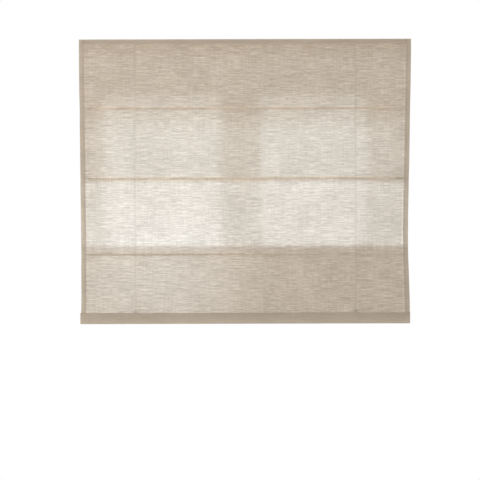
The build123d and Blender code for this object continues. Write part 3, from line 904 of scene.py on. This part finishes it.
@dataclass
class PanelCloth:
    """The hanging sheet between the top hem and the bottom hem, its sides turned back into hems."""

    form: ClothForm
    fold_radius: float = 0.6 * MM
    flap_columns: int = 9
    fold_columns: int = 7
    hem_step: float = 1.6 * MM
    hem_margin: float = 4.0 * MM
    cell: float = 4.2 * MM
    seam_cell: float = 0.9 * MM
    seam_band: float = 9.0 * MM
    tuck_in: float = 3.0 * MM

    def front_columns(self) -> tuple[Array, Array]:
        """Columns of the front layer, close together over the side hems.

        Returns:
            The share of the width and the shift inwards from the edges for every column.
        """
        plan = self.form.plan
        hem = np.arange(self.fold_radius, plan.side_hem_width + self.hem_margin, self.hem_step)
        inner = hem[-1] + self.cell
        count = round((plan.right - plan.left - 2.0 * inner) / self.cell)
        middle = np.linspace(0.0, 1.0, count)
        share = np.concatenate((np.zeros_like(hem), middle, np.ones_like(hem)))
        shift = np.concatenate((hem, inner * (1.0 - 2.0 * middle), -hem[::-1]))
        return share, shift

    def columns(self) -> tuple[Array, Array, Array]:
        """Columns of the whole cut, from the left flap's raw edge round both folds to the right flap's.

        Returns:
            Share of the width, shift inwards, and depth behind the front layer for every column.
        """
        share, shift = self.front_columns()
        radius = self.fold_radius
        flap = np.linspace(self.form.plan.side_hem_width, radius, self.flap_columns)
        turn = half_turn(self.fold_columns)
        around = radius * (1.0 - np.sin(turn))
        behind = radius * (1.0 + np.cos(turn))
        share = np.concatenate((np.zeros(flap.size + turn.size), share, np.ones(flap.size + turn.size)))
        shift = np.concatenate((flap, around, shift, -around[::-1], -flap[::-1]))
        still = np.zeros(share.size - 2 * (flap.size + turn.size))
        back = np.concatenate((np.full(flap.size, 2.0 * radius), behind))
        return share, shift, np.concatenate((back, still, back[::-1]))

    def rows(self, part: HalfPanel) -> Array:
        """Heights of a half panel's rows, close together at the rods.

        Args:
            part: the half panel. The last one ends inside the bottom hem.

        Returns:
            The heights, from the top down.
        """
        plan = self.form.plan
        end = part.bottom - self.tuck_in * (part.bottom == plan.hem_top)
        plain = np.linspace(part.top, end, round((part.top - end) / self.cell) + 1)
        seams = np.array(plan.seams)
        near = (seams[:, None] + np.arange(-self.seam_band, self.seam_band, self.seam_cell)).ravel()
        apart = np.abs(plain[:, None] - seams).min(axis=1) > self.seam_band
        apart[[0, -1]] = True
        inside = (near < part.top - self.seam_cell / 2.0) & (near > end + self.seam_cell / 2.0)
        return np.sort(np.concatenate((plain[apart], near[inside])))[::-1]

    def build(self, part: HalfPanel) -> Piece:
        """Half panel swept down the drop: every row is the folded width, set forward by the cloth's form.

        Args:
            part: the half panel.

        Returns:
            The piece.
        """
        z = self.rows(part)[:, None]
        share, shift, depth = self.columns()
        x = self.form.across(z, share, shift)
        points = as_points(x, self.form.front_y(x, z) + depth, z)
        doubled = np.where(depth > self.fold_radius, BACK_LAYER, self.form.doubled(x, z))
        tone = self.form.tone(x, z)
        return new_piece(f"panel_{part.label}", points, lattice_faces(*x.shape), tone=tone, doubled=doubled)


@dataclass
class TopHem:
    """The cloth's upper edge, turned back over the loop tape."""

    panel: PanelCloth
    fold_radius: float = 0.45 * MM
    front_rows: int = 9
    fold_rows: int = 7
    stitch_drop: float = 2.2 * MM
    stitch_sink: float = 0.3 * MM
    lift_height: float = 2.0 * MM
    # painted shade on the doubled hem, a painted shadow of the loop tape behind it, a painted highlight on
    # its folded side edges and painted shade in its corners
    shade: float = 0.91
    tape_shade: float = 0.07
    tape_reach: float = 5.0 * MM
    painted_edge_highlight: float = 0.04
    edge_stripe: Span = (5.0 * MM, 7.0 * MM)
    corner_shade: float = 0.14

    def build(self) -> Piece:
        """Front layer up to the fold, round it and down behind, along the panel's own columns.

        Returns:
            The piece.
        """
        form, plan, radius = self.panel.form, self.panel.form.plan, self.fold_radius
        front = np.linspace(plan.anchor, plan.top - radius, self.front_rows)
        turn = half_turn(self.fold_rows)
        z = np.concatenate((front, plan.top - radius + radius * np.sin(turn), front[::-1]))[::-1, None]
        back = np.full_like(front, 2.0 * radius)
        behind = np.concatenate((0.0 * front, radius * (1.0 - np.cos(turn)), back))[::-1, None]
        x = form.across(np.maximum(z, plan.anchor), *self.panel.front_columns())
        sink = self.stitch_sink * bump_at(z - plan.anchor - self.stitch_drop, form.stitch_width)
        lift = form.hem_rise * np.clip((z - plan.anchor) / self.lift_height, 0.0, 1.0)
        points = as_points(x, form.front_y(x, z) + behind + sink - lift, z)
        inset = form.side_inset(x, z)
        corner = bump_at(inset - plan.side_hem_width, form.line_width)
        tape = bump_at(z - (plan.top + plan.anchor) / 2.0, self.tape_reach)
        edge = stripe_at(inset, self.edge_stripe)
        # painted shade, tape shadow, edge highlight and corner shade of the top hem
        tone = self.shade - self.tape_shade * tape + self.painted_edge_highlight * edge - self.corner_shade * corner
        return new_piece("top_hem", points, lattice_faces(*x.shape), tone=tone, doubled=np.ones_like(x))


@dataclass
class BottomHem:
    """The deep pocket at the foot of the cloth that holds the bar."""

    form: ClothForm
    front_rows: int = 16
    turn_rows: int = 9
    cell: float = 5.0 * MM
    lean: float = 6.0 * MM
    slack: float = 0.3 * MM
    pucker: float = 0.12 * MM
    pucker_stretch: float = 0.3
    stitch_drop: float = 2.6 * MM
    stitch_reach: float = 2.2 * MM
    # painted shade along the stitch line
    stitch_shade: float = 0.05
    seam_layers: Span = (-0.5 * MM, 0.7 * MM)
    # painted shade on the hem, darker at its top and lighter towards its foot; mottle is an uneven tone at
    # random
    shade: float = 0.845
    painted_foot_light: float = 0.2
    foot_power: float = 1.5
    mottle: float = 0.02

    def build(self) -> Piece:
        """Front layer, round foot and back layer that leans in to its stitch line, carried along the width.

        Returns:
            The piece.
        """
        form, plan = self.form, self.form.plan
        middle = middle_of("bottom_bar")[1]
        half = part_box("fabric")[1].y - middle - plan.half_sheet
        foot = plan.bottom + half
        front = np.linspace(plan.hem_top, foot, self.front_rows)
        turn = half_turn(self.turn_rows)
        z = np.concatenate((front, foot - half * np.sin(turn), front[::-1]))
        level = np.ones_like(front)
        y = np.concatenate(((middle - half) * level, middle - half * np.cos(turn), (middle + half) * level))
        closing = np.clip((z - plan.hem_top + self.lean) / self.lean, 0.0, 1.0) ** 2
        y = y * (1.0 - closing) + (plan.sheet_y + np.where(y < middle, *self.seam_layers)) * closing
        puff = (np.where(y < middle, -1.0, 1.0) * (1.0 - closing))[:, None]
        left, right = form.edges(np.array((plan.bottom, plan.bottom)))
        x = np.linspace(left[0], right[0], round((plan.right - plan.left) / self.cell))
        x, z = np.broadcast_arrays(x[None, :], z[:, None])
        wave = self.slack * form.drape.at(x, z)
        wave = wave + self.pucker * form.pucker.at(x, self.pucker_stretch * z)
        points = as_points(x, y[:, None] + puff * (wave - self.slack), z)
        # painted shade along the stitch line and down the hem, with a random mottle
        line = bump_at(z - plan.hem_top + self.stitch_drop, self.stitch_reach)
        down = (plan.hem_top - z) / plan.bottom_hem_height
        tone = self.shade + self.painted_foot_light * down**self.foot_power
        tone = tone - self.stitch_shade * line - self.mottle * form.waver.at(x, z)
        return new_piece("bottom_hem", points, lattice_faces(*x.shape), tone=tone, doubled=np.ones_like(x))


@dataclass
class RodSleeve:
    """Cloth sleeve sewn behind one seam round its rod."""

    form: ClothForm
    number: int
    around: int = 28
    cell: float = 6.0 * MM
    lap: float = 0.02
    pinch: float = 0.035
    droop: float = 0.25 * MM
    # painted shade along the sleeve's top and bottom edges
    edge_shade: float = 0.08
    edge_reach: float = 1.2 * MM

    def build(self) -> Piece:
        """Strip wrapped into a teardrop whose tip is the seam line, carried along the rod.

        Returns:
            The piece. At an angle a round the sleeve its height goes with sin a sin(a/2),
            and its depth with cos a.
        """
        low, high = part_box(f"rod_pocket_{self.number}")
        centre, half = (low + high) / 2.0, (high - low) / 2.0
        angle = np.linspace(self.lap, TURN - self.lap, self.around)
        widest = 4.0 / math.sqrt(27.0)
        up = half.z * np.sin(angle) * np.sin(angle / 2.0) / widest
        out = -half.y * np.cos(angle)
        x = np.linspace(low.x, high.x, round((high.x - low.x) / self.cell))[:, None]
        pinch = 1.0 - self.pinch * (1.0 + self.form.pucker.at(x, 0.01 * angle + centre.z))
        droop = self.droop * self.form.waver.at(x, np.full_like(x, centre.z))
        y = centre.y + out * np.where(out > 0.0, pinch, 1.0)
        points = as_points(x, y, centre.z + up * pinch + droop)
        # painted shade along the sleeve's top and bottom edges
        tone = 1.0 - self.edge_shade * bump_at(np.abs(up) - half.z, self.edge_reach)
        return new_piece(f"rod_sleeve_{self.number}", points, lattice_faces(*points.shape[:2]), tone=tone)


@dataclass
class Stitching:
    """Rows of lockstitches: short rounded bars of thread lying on the cloth."""

    pitch: float = 3.6 * MM
    length: float = 2.7 * MM
    thread_radius: float = 0.28 * MM
    fold_margin: float = 1.5 * MM
    lift: float = 0.15 * MM
    rings: int = 5
    around: int = 6

    def build(self, name: str, places: Array, heading: Array) -> Piece:
        """One piece of many stitches.

        Args:
            name: the piece's name.
            places: middle of each stitch.
            heading: direction of the row, of length 1.

        Returns:
            The piece. Each stitch is a spindle: a circle carried along the row, thinner at both ends.
        """
        along = np.linspace(-1.0, 1.0, self.rings)
        girth = self.thread_radius * (0.25 + 0.75 * np.sqrt(1.0 - 0.98 * along**2))
        angle = full_turn(self.around)[:, None]
        ring = np.cos(angle) * OUTWARD - np.sin(angle) * np.cross(heading, OUTWARD)
        spindle = (along * self.length / 2.0)[:, None, None] * heading + girth[:, None, None] * ring
        points = places[:, None, None, :] + spindle
        first = (np.arange(len(places)) * self.rings * self.around)[:, None, None]
        sides = first + lattice_faces(self.rings, self.around, wrap_columns=True)
        ends = first + end_caps(self.rings, self.around)
        faces = [*sides.reshape(-1, 4).tolist(), *ends.reshape(-1, self.around).tolist()]
        return new_piece(name, points, faces)

    def steps(self, start: float, end: float) -> Array:
        """Middles of the stitches of a row between two places."""
        return np.arange(start + self.pitch, end - self.pitch / 2.0, self.pitch)


def tube(path: Array, outward: Array, girth: Array, closed: bool) -> Array:
    """Points of a tube: circles carried along a path.

    Args:
        path: middles of the circles, one a row.
        outward: a direction for each circle that does not run along the path.
        girth: radius by row and by place round the circle.
        closed: whether the path is a loop.

    Returns:
        Points in rows along the path.
    """
    ahead = np.roll(path, -1, axis=0) - np.roll(path, 1, axis=0) if closed else np.gradient(path, axis=0)
    ahead = ahead / np.linalg.norm(ahead, axis=1, keepdims=True)
    beside = np.cross(ahead, outward)
    beside = beside / np.linalg.norm(beside, axis=1, keepdims=True)
    above = np.cross(beside, ahead)
    angle = full_turn(girth.shape[1])[:, None]
    ring = np.cos(angle) * above[:, None, :] - np.sin(angle) * beside[:, None, :]
    return path[:, None, :] + girth[..., None] * ring


@dataclass
class LiftCord:
    """One braided lift cord: turns on the spool, the taut run through the rings, and the knot."""

    side: str
    radius: float = 0.75 * MM
    knot_length: float = 5.0 * MM
    knot_reach: float = 0.5 * MM
    braid_pitch: float = 4.2 * MM
    braid_step: float = 0.7 * MM
    braid_relief: float = 0.1
    plaits: int = 4
    around: int = 16
    spool_turns: float = 2.5
    turn_gap: float = 1.75 * MM
    knot_points: int = 150

    def __post_init__(self) -> None:
        """Measures the cord's line and the spool's axis on the frame."""
        low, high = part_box(f"lift_cord_{self.side}")
        self.x, self.axis_y, self.axis_z = middle_of(f"spool_{self.side}")
        self.knot_bottom = low.z
        self.winding = high.z - self.axis_z - self.radius
        self.y = self.axis_y - self.winding

    def braid(self, length: Array) -> Array:
        """Two sets of spiral ridges crossing each other: the higher of two cosines round the cord.

        Args:
            length: distance along the cord of each row.

        Returns:
            Radius by row and by place round the cord.
        """
        angle = self.plaits * full_turn(self.around)
        turn = TURN * length[:, None] / self.braid_pitch
        ridges = np.maximum(np.cos(angle + turn), np.cos(angle - turn))
        return self.radius * (1.0 + self.braid_relief * (ridges - 1.0))

    def piece(self, part: str, path: Array, outward: Array, closed: bool = False) -> Piece:
        """Braided tube along a path.

        Args:
            part: which part of the cord it is.
            path: its middle line.
            outward: a direction for each point of the path.
            closed: whether the path is a loop.

        Returns:
            The piece.
        """
        steps = np.linalg.norm(np.diff(path, axis=0), axis=1)
        length = np.concatenate(((0.0,), np.cumsum(steps)))
        points = tube(path, outward, self.braid(length), closed)
        rows, columns = points.shape[:2]
        faces = lattice_faces(rows, columns, wrap_columns=True, wrap_rows=closed).tolist()
        if not closed:
            faces += end_caps(rows, columns).tolist()
        return new_piece(f"lift_cord_{part}_{self.side}", points, faces)

    def run(self) -> Piece:
        """Straight run from the spool's side down into the knot.

        Returns:
            The piece.
        """
        end = self.knot_bottom + self.knot_length / 2.0
        z = np.linspace(self.axis_z, end, round((self.axis_z - end) / self.braid_step))
        path = as_points(self.x, self.y, z)
        return self.piece("run", path, np.broadcast_to(OUTWARD, path.shape))

    def wrap(self) -> Piece:
        """Helix of the turns that stay on the spool when the blind is down.

        Returns:
            The piece.
        """
        count = round(self.spool_turns * TURN * self.winding / self.braid_step)
        angle = np.linspace(0.0, self.spool_turns * TURN, count)
        outward = as_points(0.0, -np.cos(angle), np.sin(angle))
        middle = as_points(self.x + self.turn_gap * angle / TURN, self.axis_y, self.axis_z)
        return self.piece("wrap", middle + self.winding * outward, outward)

    def knot(self) -> Piece:
        """Stopper knot: a cord led twice round a ring while it winds three times about it.

        Returns:
            The piece.
        """
        t = full_turn(self.knot_points)
        east, north, wind = np.cos(2.0 * t), np.sin(2.0 * t), np.sin(3.0 * t)
        reach = self.knot_reach * (2.0 + np.cos(3.0 * t))
        tall = (self.knot_length / 2.0 - self.radius) * wind
        middle = np.array((self.x, self.y, self.knot_bottom + self.knot_length / 2.0))
        path = as_points(reach * east, reach * north, tall) + middle
        return self.piece("knot", path, as_points(east, north, 0.4 * wind), closed=True)


@dataclass(frozen=True)
class Lamp:
    """A soft rectangular lamp."""

    name: str
    place: tuple[float, float, float]
    target: tuple[float, float, float]
    size: tuple[float, float]
    watts: float
    colour: tuple[float, float, float] = (1.0, 1.0, 1.0)
    spread_degrees: float = 180.0

    def hang(self) -> None:
        """Puts the lamp in the scene, turned to its target and unseen by the camera."""
        data = bpy.data.lights.new(self.name, "AREA")
        data.shape = "RECTANGLE"
        data.size, data.size_y = self.size
        data.energy = self.watts
        data.color = self.colour
        data.spread = math.radians(self.spread_degrees)
        lamp = bpy.data.objects.new(self.name, data)
        lamp.location = self.place
        aim = Vector(self.target) - Vector(self.place)
        lamp.rotation_euler = aim.to_track_quat("-Z", "Y").to_euler()
        lamp.visible_camera = False
        lamp.visible_glossy = False
        bpy.context.scene.collection.objects.link(lamp)


@dataclass(frozen=True)
class DayPatch:
    """A patch of daylight behind the cloth, placed by the photograph's columns and rows of pixels."""

    name: str
    columns: Span
    rows: Span
    gap: float
    spread_degrees: float
    watts: float


DAYLIGHT = (
    DayPatch("day_upper", (84.0, 404.0), (121.0, 183.0), gap=0.3, spread_degrees=24.0, watts=0.458),
    DayPatch("day_lower", (64.0, 424.0), (183.0, 246.0), gap=0.035, spread_degrees=30.0, watts=0.79),
    DayPatch("day_left", (104.0, 221.0), (95.0, 246.0), gap=0.2, spread_degrees=16.0, watts=0.36),
    DayPatch("day_right", (261.0, 366.0), (95.0, 246.0), gap=0.2, spread_degrees=16.0, watts=0.306),
    DayPatch("day_foot", (78.0, 222.0), (253.0, 302.0), gap=0.45, spread_degrees=80.0, watts=0.51),
)


@dataclass
class Studio:
    """Camera, soft lamps, daylight behind the cloth, pale floor and white surround."""

    plan: BlindPlan
    photo_side: float = 480.0
    cloth_left_px: float = 79.2
    cloth_right_px: float = 411.8
    cloth_top_px: float = 39.1
    tilt_degrees: float = -0.15
    distance: float = 3.5
    sensor: float = 36.0
    ambient: float = 0.3
    floor_drop: float = 0.95
    floor_half: float = 6.0
    floor_fade: Span = (0.5, 1.4)
    daylight: tuple[float, float, float] = (0.77, 0.93, 1.09)

    @property
    def pixel(self) -> float:
        """Metres of cloth in one pixel of the photograph."""
        return (self.plan.right - self.plan.left) / (self.cloth_right_px - self.cloth_left_px)

    def across(self, column: float) -> float:
        """Place along the width of a column of pixels."""
        middle = (self.cloth_left_px + self.cloth_right_px) / 2.0
        return (self.plan.left + self.plan.right) / 2.0 + (column - middle) * self.pixel

    def height(self, row: float) -> float:
        """Height of a row of pixels."""
        return self.plan.top - (row - self.cloth_top_px) * self.pixel

    def aim_camera(self) -> None:
        """Level camera square to the cloth, framed as the photograph is."""
        data = bpy.data.cameras.new("camera")
        data.sensor_width = self.sensor
        data.lens = self.sensor * self.distance / (self.photo_side * self.pixel)
        camera = bpy.data.objects.new("camera", data)
        centre = self.photo_side / 2.0
        x, z = self.across(centre), self.height(centre)
        place = Matrix.Translation((x, self.plan.sheet_y - self.distance, z))
        roll = Matrix.Rotation(math.radians(self.tilt_degrees), 4, "Z")
        camera.matrix_world = place @ Matrix.Rotation(math.radians(90.0), 4, "X") @ roll
        bpy.context.scene.collection.objects.link(camera)
        bpy.context.scene.camera = camera

    def hang_lamps(self) -> None:
        """Soft front lamps, and cool daylight close behind the middle panels."""
        heart = (0.0, self.plan.sheet_y, (self.plan.top + self.plan.bottom) / 2.0)
        Lamp("key_lamp", (-1.6, -3.4, 0.9), heart, (2.4, 2.4), 102.0).hang()
        Lamp("fill_lamp", (1.9, -3.4, 0.8), heart, (2.4, 2.4), 44.0).hang()
        Lamp("back_lamp", (-0.6, 3.2, 1.6), heart, (2.8, 2.8), 40.0).hang()
        Lamp("low_lamp", (-1.3, -1.5, -1.2), (-0.5, self.plan.sheet_y, -0.98), (0.9, 0.9), 4.0).hang()
        for patch in DAYLIGHT:
            left, right = map(self.across, patch.columns)
            top, bottom = map(self.height, patch.rows)
            x, z = (left + right) / 2.0, (top + bottom) / 2.0
            place, target = (x, self.plan.sheet_y + patch.gap, z), (x, self.plan.sheet_y, z)
            size = (right - left, top - bottom)
            Lamp(patch.name, place, target, size, patch.watts, self.daylight, patch.spread_degrees).hang()

    def lay_floor(self) -> None:
        """Pale matte floor, clear from below, that takes the blind's shadow and fades into white."""
        half, z = self.floor_half, self.plan.bottom - self.floor_drop
        corners = np.array(((-half, half, z), (half, half, z), (-half, -half, z), (half, -half, z)))
        floor = new_piece("floor", corners, lattice_faces(2, 2))
        graph = ShaderGraph("pale_floor")
        without_height = {0: graph.place, 1: (1.0, 1.0, 0.0)}
        flat = graph.add("VectorMath", without_height, operation="MULTIPLY").outputs[0]
        away = graph.add("VectorMath", {0: flat}, operation="LENGTH").outputs["Value"]
        seen = graph.add("LightPath").outputs["Is Camera Ray"]
        matte = graph.add("BsdfDiffuse", {"Color": srgb(246, 246, 246)})
        level = graph.remap(seen, (0.0, 1.0), (self.ambient, 1.0))
        glow = graph.add("Emission", {"Color": srgb(255, 255, 255), "Strength": level})
        fade = graph.remap(away, self.floor_fade)
        above = graph.add("MixShader", {0: fade, 1: matte.outputs[0], 2: glow.outputs[0]})
        under = graph.add("NewGeometry").outputs["Backfacing"]
        clear = graph.add("BsdfTransparent")
        pale = graph.add("MixShader", {0: under, 1: above.outputs[0], 2: clear.outputs[0]})
        floor.data.materials.append(graph.close(pale))

    def whiten_surround(self) -> None:
        """World that looks white and lights the blind softly from all round."""
        world = bpy.data.worlds.new("surround")
        world.use_nodes = True
        graph = NodeGraph(world.node_tree)
        path = graph.add("LightPath").outputs
        rays = {0: path["Is Camera Ray"], 1: path["Is Glossy Ray"]}
        seen = graph.add("Math", rays, operation="ADD", use_clamp=True).outputs[0]
        level = graph.add("MapRange", {"Value": seen, "To Min": self.ambient, "To Max": 1.0})
        background = world.node_tree.nodes["Background"]
        graph.feed(background, "Color", srgb(255, 255, 255))
        graph.feed(background, "Strength", level.outputs["Result"])
        bpy.context.scene.world = world

    def build(self) -> None:
        """Sets up the whole stage with plain colour management."""
        self.aim_camera()
        self.hang_lamps()
        self.lay_floor()
        self.whiten_surround()
        bpy.context.scene.view_settings.view_transform = "Standard"


class RomanBlind:
    """The dressed blind: builds each soft piece, and gives it its finish, body and motion."""

    up = (0.0, 0.0, 1.0)
    along = (1.0, 0.0, 0.0)
    top_stitch_sink = 0.2 * MM
    foot_stitch_rise = 1.1 * MM
    foot_margins = (5.0 * MM, 8.0 * MM)
    rod_margin = 14.0 * MM

    def __init__(self, frame: dict) -> None:
        """Reads the plan and makes the finishes."""
        self.frame = frame
        self.plan = BlindPlan.from_frame(frame)
        self.form = ClothForm(self.plan)
        self.stitching = Stitching()
        self.linen = LINEN.make()
        self.sleeve_linen = SLEEVE_LINEN.make()
        self.thread = THREAD.make()
        self.cord_yarn = CORD_YARN.make()

    def settle(
        self, piece: Piece, finish: Finish, body: str, slot: str, *nodes: str
    ) -> Piece:
        """Finishes a piece and hands it to its body.

        Args:
            piece: the built piece.
            finish: its material.
            body: the body that it moves with.
            slot: the record's material slot; not used.
            nodes: solids that it stands for.

        Returns:
            The piece.
        """
        piece.data.materials.append(finish)
        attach(piece, body)
        if nodes:
            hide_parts(*nodes)
        LOG.info("%s: %d faces on %s", piece.name, len(piece.data.polygons), body)
        return piece

    def fold_forward(self, piece: Piece) -> None:
        """Gives a piece of a half panel its own copy of its mesh.

        Args:
            piece: the cloth or the stitches.
        """
        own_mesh(piece)

    def hang_cloth(self) -> None:
        """Half panels, top hem and bottom hem, each finished in linen and settled on its body."""
        plan = self.plan
        builder = PanelCloth(self.form)
        for part in plan.halves():
            piece = self.settle(builder.build(part), self.linen, part.body, "cloth", "fabric")
            self.fold_forward(piece)
        top = self.settle(TopHem(builder).build(), self.linen, "headrail_body", "cloth", "fabric")
        foot = self.settle(BottomHem(self.form).build(), self.linen, "bottom_bar_body", "cloth", "fabric")

    def sew(self, name: str, points: Array, heading: tuple[float, float, float], body: str) -> Piece:
        """Stitches at these points along a heading, settled on a body."""
        stitches = self.stitching.build(name, points, np.array(heading))
        return self.settle(stitches, self.thread, body, "cloth")

    def sew_sides(self) -> None:
        """Stitch rows along the side hems, one piece to each half panel."""
        form, stitching = self.form, self.stitching
        for part in self.plan.halves():
            ends = sorted((part.held, part.fold + part.half.value * stitching.fold_margin))
            z = stitching.steps(ends[0] - stitching.pitch / 2.0, ends[1])
            left, right = form.edges(z)
            x = np.concatenate((left + form.stitch_inset, right - form.stitch_inset))
            z = np.concatenate((z, z))
            points = as_points(x, form.front_y(x, z) - stitching.lift, z)
            self.fold_forward(self.sew(f"side_hem_stitches_{part.label}", points, self.up, part.body))

    def sew_across(self) -> None:
        """Stitch rows along the top hem, the bottom hem and the rod seams."""
        plan, form, stitching = self.plan, self.form, self.stitching
        x = stitching.steps(plan.left, plan.right)
        z = np.full_like(x, plan.anchor + TopHem.stitch_drop)
        points = as_points(x, form.front_y(x, z) - self.top_stitch_sink - stitching.lift, z)
        self.sew("top_hem_stitches", points, self.along, "headrail_body")
        x = stitching.steps(plan.left + self.foot_margins[0], plan.right - self.foot_margins[1])
        points = as_points(x, plan.sheet_y - self.foot_stitch_rise, plan.hem_top - BottomHem.stitch_drop)
        self.sew("bottom_hem_stitches", points, self.along, "bottom_bar_body")
        inner = plan.side_hem_width + self.rod_margin
        x = stitching.steps(plan.left + inner, plan.right - inner)
        for number, seam in enumerate(plan.seams, start=1):
            z = seam + form.seam_waver * form.waver.at(x, np.full_like(x, round(seam, 3)))
            points = as_points(x, form.front_y(x, z) - stitching.lift, z)
            self.sew(f"rod_stitches_{number}", points, self.along, f"rod_{number}_body")

    def slip_sleeves(self) -> None:
        """Cloth sleeves over the three rods."""
        for number in range(1, len(self.plan.seams) + 1):
            node = f"rod_pocket_{number}"
            sleeve = RodSleeve(self.form, number).build()
            self.settle(sleeve, self.sleeve_linen, f"rod_{number}_body", "pocket_cloth", node)

    def string_cords(self) -> None:
        """Both lift cords, from the spools to the knots under the bar's rings."""
        for side in ("left", "right"):
            cord, node = LiftCord(side), f"lift_cord_{side}"
            run = self.settle(cord.run(), self.cord_yarn, "headrail_body", "cord", node)
            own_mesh(run)
            self.settle(cord.wrap(), self.cord_yarn, "headrail_body", "cord", node)
            self.settle(cord.knot(), self.cord_yarn, "bottom_bar_body", "cord", node)

    def dress_hardware(self) -> None:
        """Gives every solid that is shown the finish of its material slot."""
        finishes = {slot: finish.make() for slot, finish in SLOT_FINISHES.items()}
        for part in self.frame["record"]["subparts"]:
            finish = finishes.get(part["material_slot"])
            if finish is not None:
                mesh = self.frame["nodes"][part["node"]].data
                mesh.materials.clear()
                mesh.materials.append(finish)
                LOG.info("%s: %s", part["node"], finish.name)

    def build(self) -> None:
        """Builds and dresses the blind from front to back."""
        self.hang_cloth()
        self.sew_sides()
        self.sew_across()
        self.slip_sleeves()
        self.string_cords()
        self.dress_hardware()


def main() -> None:
    """Loads the frame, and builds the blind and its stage."""
    logging.basicConfig(level=logging.INFO, format="%(name)s %(message)s")
    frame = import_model()
    blind = RomanBlind(frame)
    blind.build()
    Studio(blind.plan).build()


if __name__ == "__main__":
    main()
